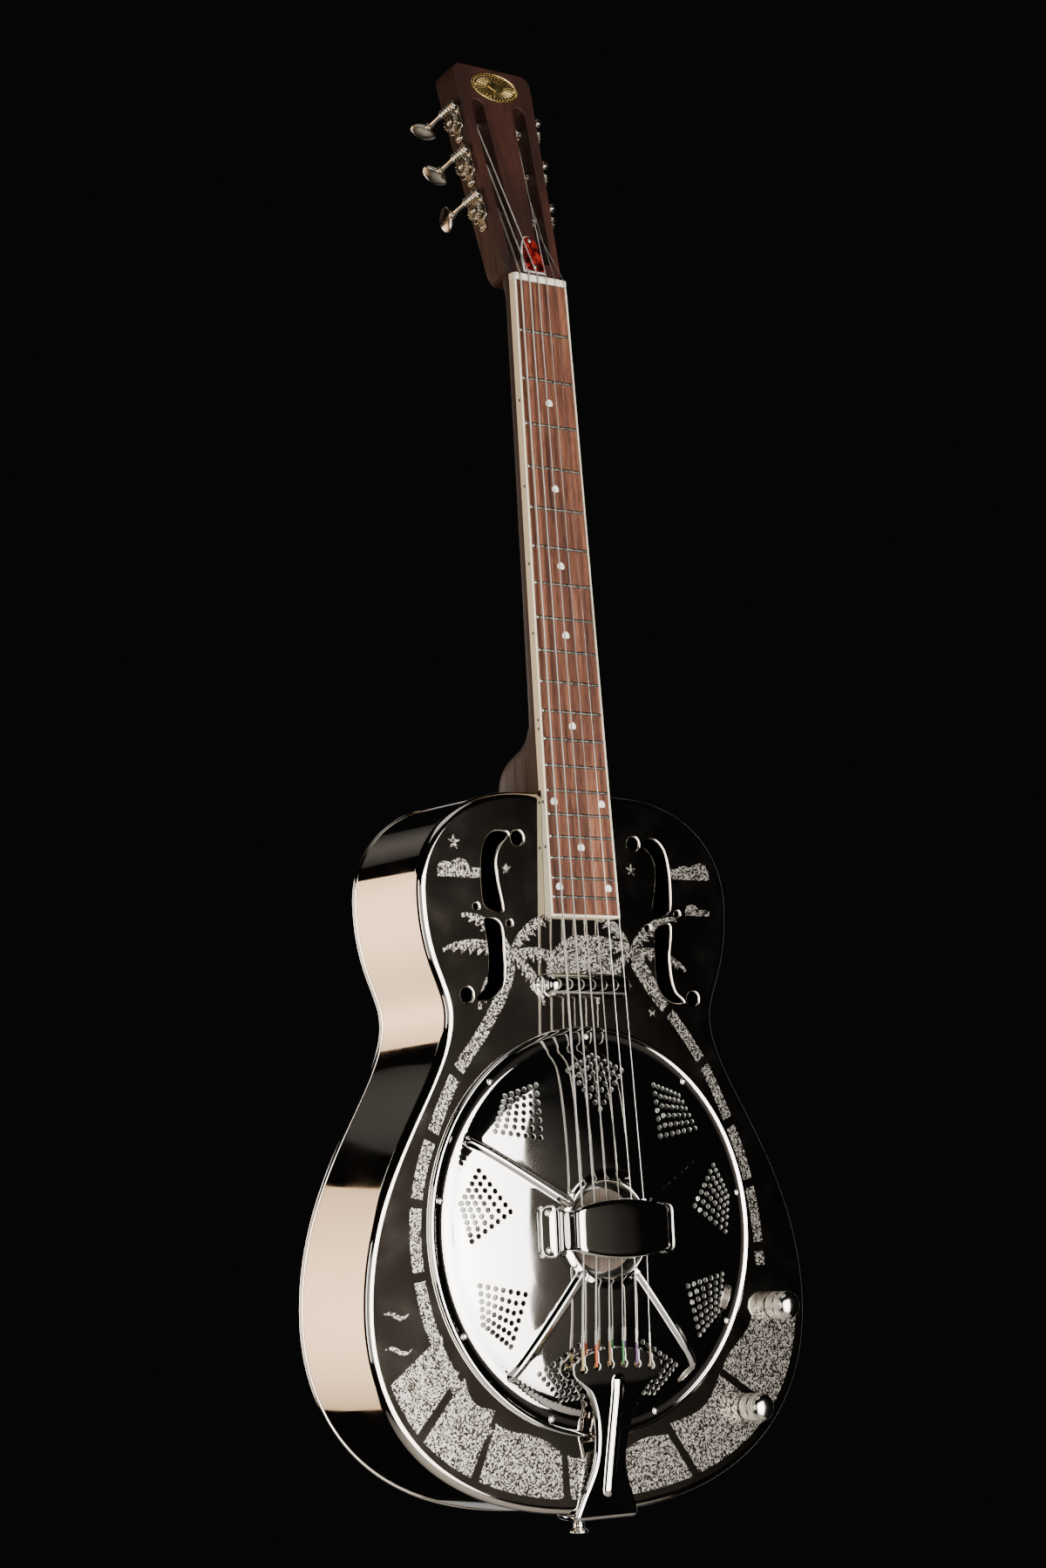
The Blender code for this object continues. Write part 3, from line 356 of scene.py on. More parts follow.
# Maple darkened far below its own pale tone: painted shade for the biscuit and saddle under the coverplate.
MAPLE_IN_SHADE = wood("maple", (0.055, 0.042, 0.030), (0.095, 0.075, 0.055), (0.14, 0.11, 0.082), 90, 0.6, 0.0)
IVORY = plastic("ivory_binding", (0.80, 0.71, 0.52), 0.3, 0.06)
BONE = plastic("bone_nut", (0.86, 0.80, 0.66), 0.28, 0.05)
SHELL_STOPS = [(0.38, (0.010, 0.002, 0.002)), (0.50, (0.09, 0.005, 0.005)), (0.64, (0.30, 0.022, 0.018))]
TORTOISE = mottled("tortoise_shell", (0.30, 0.02, 0.02), 0.15, 0.0, 190.0, 4.0, SHELL_STOPS,
                   Coat_Weight=0.6)[0]
WHITE_PLY = plastic("white_ply", (0.85, 0.83, 0.78), 0.35, 0.03)
BLACK = plastic("black_marker", (0.02, 0.02, 0.02), 0.35, 0.2)
PEARL_STOPS = [(0.3, (0.72, 0.74, 0.76)), (0.5, (0.92, 0.90, 0.85)), (0.7, (0.80, 0.76, 0.80))]
PEARL = mottled("pearl_inlay", (0.86, 0.85, 0.82), 0.2, 0.0, 420.0, 2.0, PEARL_STOPS, Coat_Weight=0.4)[0]
BRASS = antique_brass()
FRET = aged_metal("fret_wire", (0.66, 0.63, 0.57), (0.44, 0.41, 0.36), 0.20, 0.30)
WIRE = polished("plain_string", (0.78, 0.76, 0.72), 0.16, 0.24)
CONE = turned_metal("spun_aluminium", (0.74, 0.74, 0.73), 300)
STEEL = aged_metal("plain_steel", (0.52, 0.51, 0.50), (0.30, 0.28, 0.26), 0.3, 0.45)
COPPER = aged_metal("copper_coil", (0.45, 0.17, 0.08), (0.25, 0.09, 0.04), 0.3, 0.5)
# Near-black metal: painted shade on the coverplate's underside and the walls under its holes and edges; also
# used for the gear washers.
DARK_METAL_SHADE = aged_metal("painted_shade_metal", (0.10, 0.09, 0.08), (0.04, 0.035, 0.03), 0.35, 0.6)

# ---------------------------------------------------------------- geometry


class Shape:
    """Points, faces, a material number for each face, and a normal for each point where it is known."""

    def __init__(self):
        self.verts = []
        self.faces = []
        self.slots = []
        self.normals = {}
        self.uvs = {}

    def point(self, co, normal=None):
        self.verts.append(Vector(co))
        if normal is not None:
            self.normals[len(self.verts) - 1] = Vector(normal).normalized()
        return len(self.verts) - 1

    def ring(self, points, normals=None):
        if normals is None:
            return [self.point(p) for p in points]
        return [self.point(p, n) for p, n in zip(points, normals)]

    def face(self, indices, slot=0):
        self.faces.append(tuple(indices))
        self.slots.append(slot)

    def skin(self, low, high, slot=0, closed=True):
        """Faces between two rings of point numbers."""
        size = len(low)
        for k in range(size if closed else size - 1):
            after = (k + 1) % size
            self.face((low[k], low[after], high[after], high[k]), slot)

    def skins(self, rings, forward=True, closed=True):
        """Faces along a stack of rings, turned over if not forward."""
        for low, high in zip(rings, rings[1:]):
            self.skin(*((low, high) if forward else (high, low)), closed=closed)

    def join(self, other, place=None, slot=0):
        """Adds another shape, moved by a matrix."""
        start = len(self.verts)
        turn = place.to_3x3() if place else None
        for k, co in enumerate(other.verts):
            self.verts.append(place @ co if place else co.copy())
            if k in other.normals:
                normal = other.normals[k]
                self.normals[start + k] = (turn @ normal).normalized() if place else normal
        for face, number in zip(other.faces, other.slots):
            flip = place is not None and place.determinant() < 0
            indices = [start + i for i in face]
            self.faces.append(tuple(reversed(indices)) if flip else tuple(indices))
            self.slots.append(number + slot)


def rings_shape(rings, closed=True, looped=False, caps=True):
    """A skin over rings of points. looped joins the last ring to the first."""
    shape = Shape()
    numbers = [shape.ring(ring) for ring in rings]
    shape.skins(numbers, closed=closed)
    if looped:
        shape.skin(numbers[-1], numbers[0], closed=closed)
    elif caps and closed:
        shape.face(reversed(numbers[0]))
        shape.face(numbers[-1])
    return shape


def spun(profile, segments, looped=False):
    """A turned shape about local Z from (radius, height) points in rising order, closed on its axis."""
    rings = []
    for radius, height in profile:
        angles = [TURN * k / segments for k in range(segments)]
        rings.append([(radius * math.cos(a), radius * math.sin(a), height) for a in angles])
    return rings_shape(rings, looped=looped)


def tube(points, radius, sides=10, radii=None):
    """A round bar along a route, with the distance along it as the V of its unwrapped surface."""
    shape = Shape()
    points = [Vector(p) for p in points]
    side = None
    rings = []
    travelled = 0.0
    lengths = []
    for k, here in enumerate(points):
        if k:
            travelled += (here - points[k - 1]).length
        lengths.append(travelled)
        before, after = neighbours(points, k)
        along = (after - before).normalized()
        if side is None:
            side = along.orthogonal().normalized()
        side = (side - along * side.dot(along)).normalized()
        other = along.cross(side)
        size = radii[k] if radii else radius
        angles = [TURN * j / sides for j in range(sides)]
        normals = [side * math.cos(a) + other * math.sin(a) for a in angles]
        rings.append(shape.ring([here + n * size for n in normals], normals))
    for k, (low, high) in enumerate(zip(rings, rings[1:])):
        for j in range(sides):
            after = (j + 1) % sides
            shape.face((low[j], low[after], high[after], high[j]))
            ends = (lengths[k] * MM, lengths[k + 1] * MM)
            u0, u1 = j / sides, (j + 1) / sides
            shape.uvs[len(shape.faces) - 1] = ((u0, ends[0]), (u1, ends[0]), (u1, ends[1]), (u0, ends[1]))
    for ring, way in ((rings[0], points[0] - points[1]), (rings[-1], points[-1] - points[-2])):
        shape.face(shape.ring([shape.verts[k] for k in ring], [way] * sides))
    return shape


def smooth_loop(points, steps, closed=True):
    """A Catmull-Rom curve through points of any dimension."""
    points = [Vector(p) for p in points]
    size = len(points)
    result = []
    spans = size if closed else size - 1
    for k in range(spans):
        if closed:
            a, b, c, d = (points[(k + j) % size] for j in (-1, 0, 1, 2))
        else:
            a, b, c, d = (points[min(max(k + j, 0), size - 1)] for j in (-1, 0, 1, 2))
        for j in range(steps):
            t = j / steps
            result.append(
                ((2 * b) + (c - a) * t + (2 * a - 5 * b + 4 * c - d) * t * t
                 + (3 * b - a - 3 * c + d) * t * t * t) * 0.5
            )
    if not closed:
        result.append(points[-1])
    return result


def turning(loop):
    """1 for a counter-clockwise loop, -1 for a clockwise one."""
    area = sum(a[0] * b[1] - b[0] * a[1] for a, b in zip(loop, list(loop[1:]) + [loop[0]]))
    return 1 if area > 0 else -1


def outward(loop):
    """The unit direction away from a loop's inside at each of its points."""
    size = len(loop)
    side = turning(loop)
    result = []
    for k in range(size):
        before, here, after = Vector(loop[k - 1]), Vector(loop[k]), Vector(loop[(k + 1) % size])
        one = (here - before).normalized()
        two = (after - here).normalized()
        total = one + two
        result.append(Vector((total.y, -total.x)).normalized() * side)
    return result


def grown(loop, distance):
    return [tuple(Vector(p) + n * distance) for p, n in zip(loop, outward(loop))]


def flat_fill(loops, holes, marks=(), spots=()):
    """Triangles over an outline less its holes. Returns points, faces and whether a mark covers each face."""
    points = []
    polygons = []
    for loop in [*loops, *holes, *marks]:
        polygons.append(list(range(len(points), len(points) + len(loop))))
        points += [Vector(p) for p in (loop if turning(loop) > 0 else reversed(loop))]
    points += [Vector(p) for p in spots]
    found = delaunay_2d_cdt(points, [], polygons, 1, 1e-5)
    verts, faces, sources = found[0], found[2], found[5]
    first_hole = len(loops)
    first_mark = first_hole + len(holes)
    kept = []
    marked = []
    for face, source in zip(faces, sources):
        inside = any(k < first_hole for k in source)
        cut = any(first_hole <= k < first_mark for k in source)
        if inside and not cut:
            kept.append(face)
            marked.append(any(k >= first_mark for k in source))
    return verts, kept, marked


def refined(loop, normals, verts):
    """A loop and its normals with a point added wherever one of verts lies on an edge of it."""
    loop = [Vector(p) for p in loop]
    size = len(loop)
    found = []
    for k, start in enumerate(loop):
        end = loop[(k + 1) % size]
        edge = end - start
        shares = [0.0]
        for p in verts:
            share = (p - start).dot(edge) / edge.length_squared
            if 0.001 < share < 0.999 and (start + edge * share - p).length < 0.001:
                shares.append(share)
        for share in sorted(shares):
            normal = normals[k].lerp(normals[(k + 1) % size], share)
            found.append((start + edge * share, normal))
    return [p for p, n in found], [n for p, n in found]


def rim(shape, loop, away, shift, y, out, back):
    """A ring along a loop, moved outward by shift, with normals that lean out and to +Y by the last two."""
    points = [(p[0] + n.x * shift, y, p[1] + n.y * shift) for p, n in zip(loop, away)]
    return shape.ring(points, [(n.x * out, back, n.y * out) for n in away])


def slab(outline, holes, front, back, radius, steps=3, marks=(), back_radius=None):
    """A plate in the XZ plane from depth front to depth back, with rounded edges all round."""
    shape = Shape()
    back_radius = radius if back_radius is None else back_radius
    for y, size, facing in ((front, radius, -1), (back, back_radius, 1)):
        edge = [grown(outline, -size)]
        cuts = [grown(loop, size) for loop in holes]
        verts, faces, marked = flat_fill(edge, cuts, marks if facing < 0 else ())
        numbers = [shape.point((p.x, y, p.y), (0, facing, 0)) for p in verts]
        for face, mark in zip(faces, marked):
            order = face if facing < 0 else reversed(face)
            shape.face([numbers[k] for k in order], 1 if mark else 0)
    for loop, sign in [(outline, 1), *((hole, -1) for hole in holes)]:
        away = [n * sign for n in outward(loop)]
        stack = []
        for k in range(steps + 1):
            stack.append((front, 1, radius, PI / 2 * k / steps))
        for k in range(steps + 1):
            stack.append((back, -1, back_radius, PI / 2 * (1 - k / steps)))
        rings = []
        for y, into, size, angle in stack:
            shift = size * (math.sin(angle) - 1)
            depth = y + into * size * (1 - math.cos(angle))
            rings.append(rim(shape, loop, away, shift, depth, math.sin(angle), -into * math.cos(angle)))
        shape.skins(rings, turning(loop) * sign > 0)
    return shape


def piece(name, shape, materials, node_names=(), body="guitar", place=None, angle=35):
    """Makes the object in the row's frame, with its materials, and rides it on its body."""
    if place is None:
        place = Matrix()
    to_row = Matrix.Scale(MM, 4) @ Matrix.Translation(-HANGER) @ place
    mesh = bpy.data.meshes.new(name)
    mesh.from_pydata([to_row @ v for v in shape.verts], [], shape.faces)
    if not isinstance(materials, (list, tuple)):
        materials = [materials]
    for item in materials:
        mesh.materials.append(item)
    mesh.polygons.foreach_set("material_index", [min(s, len(materials) - 1) for s in shape.slots])
    mesh.polygons.foreach_set("use_smooth", [True] * len(mesh.polygons))
    if shape.uvs:
        layer = mesh.uv_layers.new(name="along")
        for number, corners in shape.uvs.items():
            for loop_index, uv in zip(mesh.polygons[number].loop_indices, corners):
                layer.data[loop_index].uv = uv
    known = len(shape.normals) == len(shape.verts)
    if known:
        turn = place.to_3x3()
        normals = [turn @ shape.normals[k] for k in range(len(shape.verts))]
        for polygon in mesh.polygons:
            facing = sum((normals[k] for k in polygon.vertices), Vector()) / len(polygon.vertices)
            if facing.dot(polygon.normal) < -0.05:
                polygon.flip()
        mesh.update()
        mesh.normals_split_custom_set_from_vertices(normals)
    else:
        work = bmesh.new()
        work.from_mesh(mesh)
        bmesh.ops.remove_doubles(work, verts=work.verts, dist=2e-6)
        bmesh.ops.recalc_face_normals(work, faces=work.faces)
        work.to_mesh(mesh)
        work.free()
        mesh.set_sharp_from_angle(angle=math.radians(angle))
    mesh.validate()
    item = add_object(name, mesh)
    if not known:
        weighted = item.modifiers.new("Even shading", "WEIGHTED_NORMAL")
        weighted.keep_sharp = True
    if node_names:
        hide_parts(*node_names)
    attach(item, body)
    return item


# ---------------------------------------------------------------- body


def bezier(p0, p1, p2, p3, steps):
    points = []
    for k in range(steps):
        t = k / steps
        u = 1 - t
        weights = (u**3, 3 * u * u * t, 3 * u * t * t, t**3)
        points.append(tuple(sum(w * p[i] for w, p in zip(weights, (p0, p1, p2, p3))) for i in (0, 1)))
    return points


def body_outline():
    """The body's outline, counter-clockwise, as in the model's source but with more points."""
    (ux, uz), (wx, wz), (lx, lz) = UPPER_BOUT, WAIST, LOWER_BOUT
    half = bezier((0, BODY_TOP_Z), (14, BODY_TOP_Z), (27, BODY_TOP_Z), (BODY_FLAT, BODY_TOP_Z), 6)
    half += bezier((BODY_FLAT, BODY_TOP_Z), (BODY_FLAT + 63, BODY_TOP_Z), (ux, uz + 36), (ux, uz), 32)
    half += bezier((ux, uz), (ux, uz - 47), (wx, wz + 20), (wx, wz), 22)
    half += bezier((wx, wz), (wx, wz - 43), (lx, lz + 94), (lx, lz), 40)
    half += bezier((lx, lz), (lx, lz - 75), (129, BODY_END_Z), (0, BODY_END_Z), 48)
    half.append((0, BODY_END_Z))
    left = [(-x, z) for x, z in half]
    return left + list(reversed(half[1:-1]))


def sound_hole(side):
    """One split f-shaped sound hole: two curved slots, two end circles and two small ones."""
    upper = [(-68, 265), (-76, 259), (-80, 247), (-81, 232), (-80, 218), (-76, 213), (-66, 211)]
    upper += [(-65, 216), (-68, 230), (-69.5, 243), (-67, 253), (-60, 260), (-58, 264)]
    lower = [(-79, 206), (-70, 205), (-66, 199), (-65.5, 185), (-65.5, 170), (-69, 160), (-77, 153.5)]
    lower += [(-88, 152.5), (-87, 155), (-81, 160), (-78, 170), (-77, 185), (-79, 197)]
    loops = [[tuple(p) for p in smooth_loop([(-side * x, z) for x, z in slot], 4)] for slot in (upper, lower)]
    for x, z, radius in ((-50, 261, 5), (-97, 155.5, 5), (-86.5, 214, 2.2), (-59.5, 203.5, 2.2)):
        loops.append(circle(-side * x, z, radius, 32 if radius > 3 else 20))
    return loops


def frond(root, heading, length, droop, width):
    """A palm leaf: a bending rib, a smooth upper edge and a saw-toothed lower one."""
    teeth = 8
    spine = []
    here = Vector(root)
    for k in range(2 * teeth + 1):
        turn = math.radians(heading + droop * k / (2 * teeth))
        along = unit(turn)
        spine.append((here.copy(), along))
        here = here + along * length / (2 * teeth)
    lower_side = 1 if droop > 0 else -1
    top = []
    bottom = []
    for k, (point, along) in enumerate(spine):
        share = k / (2 * teeth)
        size = width * math.sin(PI * (0.12 + 0.86 * share)) ** 0.8
        across = Vector((-along.y, along.x)) * lower_side
        top.append(point - across * size * 0.35)
        if k % 2:
            bottom.append(point + across * size + along * length * 0.05)
        else:
            bottom.append(point + across * size * 0.3)
    return [tuple(p) for p in top + list(reversed(bottom))]


def band(points, width, length, gap):
    """Short blocks set end to end along a curve."""
    route = smooth_loop(points, 12, closed=False)
    blocks = []
    current = []
    travelled = 0.0
    for before, here in zip(route, route[1:]):
        travelled += (here - before).length
        along = (here - before).normalized()
        across = Vector((-along.y, along.x)) * width / 2
        phase = travelled % (length + gap)
        if phase < length:
            current.append((here - across, here + across))
        elif current:
            blocks.append(current)
            current = []
    if current:
        blocks.append(current)
    return [[tuple(a) for a, b in block] + [tuple(b) for a, b in reversed(block)]
            for block in blocks if len(block) > 1]


def star(x, z, radius):
    points = []
    for k in range(10):
        size = radius if k % 2 == 0 else radius * 0.4
        turn = PI / 2 + PI * k / 5
        points.append((x + size * math.cos(turn), z + size * math.sin(turn)))
    return points


def cloud(x, z, length, height, puffs):
    """A flat-bottomed cloud with rounded puffs on top."""
    points = [(x + length / 2, z), (x + length / 2, z + height * 0.4)]
    for k in range(puffs):
        centre = x + length / 2 - length * (k + 0.5) / puffs
        lift = height * (0.75 + 0.25 * math.sin(2.4 * k + x))
        half = length / puffs / 2
        shoulder = z + lift * 0.9
        points += [(centre + half * 0.7, shoulder), (centre, z + lift), (centre - half * 0.7, shoulder)]
    points += [(x - length / 2, z + height * 0.4), (x - length / 2, z)]
    return points


def wave(x, z, length, lift):
    upper = [(x - length / 2 + length * k / 8, z + lift * math.sin(TURN * k / 8)) for k in range(9)]
    lower = [(px, pz - 3.2 * math.sin(PI * k / 8)) for k, (px, pz) in enumerate(upper)][1:-1]
    return upper + list(reversed(lower))


def shore(edge, start, end, inner, lean):
    """A patch of ground between the coverplate and the body's edge, between two angles in degrees."""
    steps = 12
    outer_points = []
    inner_points = []
    for k in range(steps + 1):
        share = k / steps
        turn = math.radians(start + (end - start) * share)
        near = unit(turn)
        low = inner + 3.5 * math.sin(5 * share + start)
        inner_points.append(near * low)
        far_turn = turn + math.radians(lean)
        outer_points.append(ray_to(edge, far_turn))
    return [tuple(p) for p in inner_points + list(reversed(outer_points))]


def ray_to(loop, turn):
    """Where a ray from the coverplate's centre leaves a loop."""
    way = unit(turn)
    best = None
    for a, b in zip(loop, loop[1:] + loop[:1]):
        a, b = Vector(a), Vector(b)
        edge = b - a
        cross = way.x * edge.y - way.y * edge.x
        if abs(cross) < 1e-9:
            continue
        distance = (a.x * edge.y - a.y * edge.x) / cross
        share = (a.x * way.y - a.y * way.x) / cross
        if distance > 0 and -1e-6 <= share <= 1 + 1e-6 and (best is None or distance < best):
            best = distance
    return way * best


def etching(outline):
    """Two palms, a rising sun, clouds, stars, waves and a shore: a plain tropical scene."""
    marks = []
    for side, root in ((-1, (-59, 183)), (1, (43, 186))):
        for heading, length, droop, width in ((158, 58, 42, 8), (118, 50, 62, 8), (62, 52, -60, 8),
                                              (14, 52, -48, 8), (-28, 44, -50, 8), (212, 48, 42, 8)):
            turn = heading if side < 0 else heading - 4
            marks.append(frond(root, turn, length, droop, width))
    marks += band([(-60, 178), (-66, 160), (-84, 133), (-108, 104), (-126, 72), (-141, 36), (-146, 0),
                   (-142, -38), (-131, -72), (-112, -106), (-94, -128)], 9, 43, 2.6)
    marks += band([(45, 181), (61, 160), (83, 137), (104, 109), (120, 79), (135, 43), (143, 8), (146, -28)],
                  8, 43, 2.6)
    marks.append(arc(0, 166, 31, 0, PI, 24))
    marks += [cloud(-92, 233, 50, 14, 4), cloud(95, 238, 44, 13, 3), cloud(105, 213, 22, 9, 2)]
    marks += [star(-103, 256, 5.5), star(-60.5, 240, 4.5), star(47, 243, 4.5), star(60, 146, 4.2)]
    marks += [wave(-163, -48, 20, 1.6), wave(-162, -70, 22, 1.8), wave(-128, -84, 15, 1.4),
              wave(-117, -104, 12, 1.2), wave(146, -76, 16, 1.4), wave(121, -98, 14, 1.2)]
    edge = grown(outline, -9.5)
    for start, end in ((206, 217), (219, 232), (234, 256), (258, 268.5), (272, 292), (294, 316), (318, 338)):
        marks.append(shore(edge, start, end, 146, 2.5))
    return marks


def rolled_hole(loop, verts, depth=2.6, radius=LIP_RADIUS):
    """The lip of a sound hole, turned smoothly into the body from the flat sheet's own points."""
    fine, away = refined(grown(loop, radius), outward(loop), verts)
    loop = [p - n * radius for p, n in zip(fine, away)]
    away = [-n for n in away]
    bend = [PI / 2 * k / 5 for k in range(6)]
    stack = [(-radius + radius * math.sin(turn), radius - radius * math.cos(turn), turn) for turn in bend]
    stack.append((0, depth, PI / 2))
    shape = Shape()
    rings = []
    for shift, y, angle in stack:
        rings.append(rim(shape, loop, away, shift, y, math.sin(angle), -math.cos(angle)))
    for shift, y in ((-0.6, depth), (-radius, SHEET)):
        rings.append(rim(shape, loop, away, shift, y, -1, 1.2))
    shape.skins(rings, turning(loop) < 0)
    return shape


# The round edge of the body, from the flat sheet to the side: (distance inside the outline, height in front)
EDGE_RADIUS = 5.2
EDGE = [(EDGE_RADIUS * (1 - math.sin(PI / 2 * k / 8)), -EDGE_RADIUS * (1 - math.cos(PI / 2 * k / 8)))
        for k in range(9)] + [(0.0, -5.8), (0.3, -6.2), (1.0, -6.4)]


def body_face(outline, holes, marks, mirrored):
    """The top, or the mirrored back: flat sheet, rolled holes and the round edge that meets the side."""
    shape = Shape()
    edge = grown(outline, -EDGE[0][0])
    cuts = [grown(loop, LIP_RADIUS) for loop in holes]
    verts, faces, marked = flat_fill([edge], cuts, marks)
    front = [shape.point((p.x, 0, p.y), (0, -1, 0)) for p in verts]
    rear = [shape.point((p.x, SHEET, p.y), (0, 1, 0)) for p in verts]
    for face, mark in zip(faces, marked):
        shape.face([front[k] for k in face], 1 if mark else 0)
        shape.face([rear[k] for k in reversed(face)], 2)
    for loop in holes:
        shape.join(rolled_hole(loop, verts))
    away = outward(outline)
    rings = []
    for k, (inside, height) in enumerate(EDGE):
        before, after = neighbours(EDGE, k)
        run = Vector((before[0] - after[0], after[1] - before[1])).normalized()
        out_part, front_part = -run.y, run.x
        if k == 0:
            out_part, front_part = 0, 1
        rings.append(rim(shape, outline, away, -inside, -height, out_part, -front_part))
    for inside, height in ((1.9, -6.4), (1.9, -3.6), (EDGE_RADIUS, -SHEET)):
        rings.append(rim(shape, outline, away, -inside, -height, -1, 0.1))
    for k, (low, high) in enumerate(zip(rings, rings[1:])):
        shape.skin(high, low, 0 if k < len(EDGE) - 1 else 2)
    if mirrored:
        flipped = Shape()
        flipped.join(shape, Matrix.Translation((0, BODY_DEPTH, 0)) @ Matrix.Scale(-1, 4, Vector((0, 1, 0))))
        return flipped
    return shape


def make_body():
    outline = body_outline()
    holes = [circle(0, 0, 126, 128), *sound_hole(-1), *sound_hole(1)]
    holes.append([(-28, PICKUP_Z - 4), (28, PICKUP_Z - 4), (28, PICKUP_Z + 4), (-28, PICKUP_Z + 4)])
    for x, z in KNOB_CENTRES.values():
        holes.append(circle(x, z, 4, 24))
    top = body_face(outline, holes, etching(outline), False)
    piece("top_plate", top, [NICKEL, ETCHED, INSIDE_SHADE], ["body_top"])
    piece("back_plate", body_face(outline, [], [], True), [NICKEL, ETCHED, INSIDE_SHADE], ["body_back"])
    away = outward(outline)
    side = Shape()
    rings = []
    start, end = -EDGE[-1][1], BODY_DEPTH + EDGE[-1][1]
    for inside, y, facing in ((1.0, start, 1), (1.0, end, 1), (1.9, end, -1), (1.9, start, -1)):
        rings.append(rim(side, outline, away, -inside, y, facing, 0))
    for k in range(4):
        side.skin(rings[(k + 1) % 4], rings[k], 0 if k == 0 else 1)
    piece("side_band", side, [NICKEL, INSIDE_SHADE], ["body_sides"])


# ---------------------------------------------------------------- resonator, handrest and tailpiece

# The coverplate's height in front of the top at each radius
COVER_HEIGHTS = ((31.0, 14.2), (31.5, 15.4), (32.8, 16.15), (34.6, 16.15), (36.4, 15.5), (38.4, 14.95),
                 (42, 14.8), (56, 14.15), (70, 13.2), (92, 11.2), (107, 9.0), (113, 7.5), (118, 5.5),
                 (121, 3.9), (123.5, 2.75), (126, 2.3), (129, 2.25), (131.2, 2.3), (132.6, 2.8),
                 (133.8, 3.0), (134.9, 2.7), (135.4, 2.0))
COVER_FLAT = (38.4, 131.2)
RIB_ANGLES = (30, 150, 230, 310)
RIB_SPAN = (38, 120)
RIB_HALF = 3.9
# The coverplate's two turned edges: (radius, height, lean of the surface to the front)
INNER_WALL = ((31.0, 14.2, 0), (31.0, 12.6, 0), (31.5, 12.4, -1.4), (32.2, 12.7, -1.5))
OUTER_WALL = ((135.4, 2.0, 0.3), (135.5, 1.2, 0), (135.4, 0.4, -0.3), (134.6, 0.4, -1.5), (134.0, 1.3, -1.5))
SCREW_ANGLES = [90 + 40 * k for k in range(9)]
SCREW_CIRCLE = 128.6
HOLE_RADIUS = 2.03  # of each perforation
HOLE_SIDES = 12


def cover_height(radius):
    """Cubic interpolation of the profile, with a slope at each given radius from its neighbours."""
    table = COVER_HEIGHTS
    radius = min(max(radius, table[0][0]), table[-1][0])
    k = 0
    while k < len(table) - 2 and radius > table[k + 1][0]:
        k += 1
    (r0, h0), (r1, h1) = table[k], table[k + 1]

    def slope(i):
        a, b = neighbours(table, i)
        return (b[1] - a[1]) / (b[0] - a[0])

    span = r1 - r0
    t = (radius - r0) / span
    m0, m1 = slope(k) * span, slope(k + 1) * span
    return ((2 * t**3 - 3 * t**2 + 1) * h0 + (t**3 - 2 * t**2 + t) * m0
            + (3 * t**2 - 2 * t**3) * h1 + (t**3 - t**2) * m1)


def rib_height(x, z):
    best = 0.0
    for angle in RIB_ANGLES:
        way = unit(math.radians(angle))
        along = min(max(x * way.x + z * way.y, RIB_SPAN[0]), RIB_SPAN[1])
        away = (Vector((x, z)) - way * along).length
        if away < RIB_HALF:
            best = max(best, 2.1 * math.cos(PI / 2 * away / RIB_HALF) ** 1.6)
    return best


def cover_surface(x, z):
    """The coverplate's surface point and its normal."""
    step = 0.04

    def height(px, pz):
        return cover_height(math.hypot(px, pz)) + rib_height(px, pz)

    slope_x = (height(x + step, z) - height(x - step, z)) / (2 * step)
    slope_z = (height(x, z + step) - height(x, z - step)) / (2 * step)
    return Vector((x, -height(x, z), z)), Vector((-slope_x, -1, -slope_z)).normalized()


def perforations():
    """The centres of the punched holes: nine kite-shaped groups, one at each screw."""
    centres = []
    for angle in SCREW_ANGLES:
        turn = Matrix.Rotation(math.radians(angle), 2)
        inner, outer = Vector((79.5, 0)), Vector((115.4, 0))
        left, right = Vector((105.4, -22.9)), Vector((105.4, 22.9))
        for i in range(7):
            start = inner.lerp(left, i / 6)
            end = right.lerp(outer, i / 6)
            count = 7 if i == 0 else 6
            for j in range(count):
                centres.append(turn @ start.lerp(end, j / (count - 1)))
    return centres


COVER_RADII = (*range(41, 106, 4), 108, 111, 113.5, 116, 118, 119.5, 121, 122.4, 123.8, 125.4, 127.5)
COVER_SIDES = 192
CELL = 8  # size of the squares in which the holes near a point are looked up
# The turned lip of a perforation: (radius, height over the sheet, lean of the surface to the inside)
HOLE_LIP = ((1.9, 0.14, 0.35), (1.76, 0.12, 0.9), (1.66, -0.1, 1.35), (1.62, -0.5, 1.57), (1.62, -0.9, 1.57))


def rib_spots():
    """Points for the sheet's mesh along the four ribs and round their ends."""
    spots = []
    for angle in RIB_ANGLES:
        way = unit(math.radians(angle))
        across = Vector((-way.y, way.x))
        steps = 34
        for k in range(steps + 1):
            along = RIB_SPAN[0] + 2 + (RIB_SPAN[1] - RIB_SPAN[0] - 2) * k / steps
            for offset in (-3.9, -3.2, -2.4, -1.6, -0.8, 0, 0.8, 1.6, 2.4, 3.2, 3.9):
                spots.append(way * along + across * offset)
        for ring in (1.3, 2.6, 3.9):
            for k in range(1, 8):
                turn = math.radians(angle) - PI / 2 + PI * k / 8
                spots.append(way * RIB_SPAN[1] + unit(turn) * ring)
    return spots


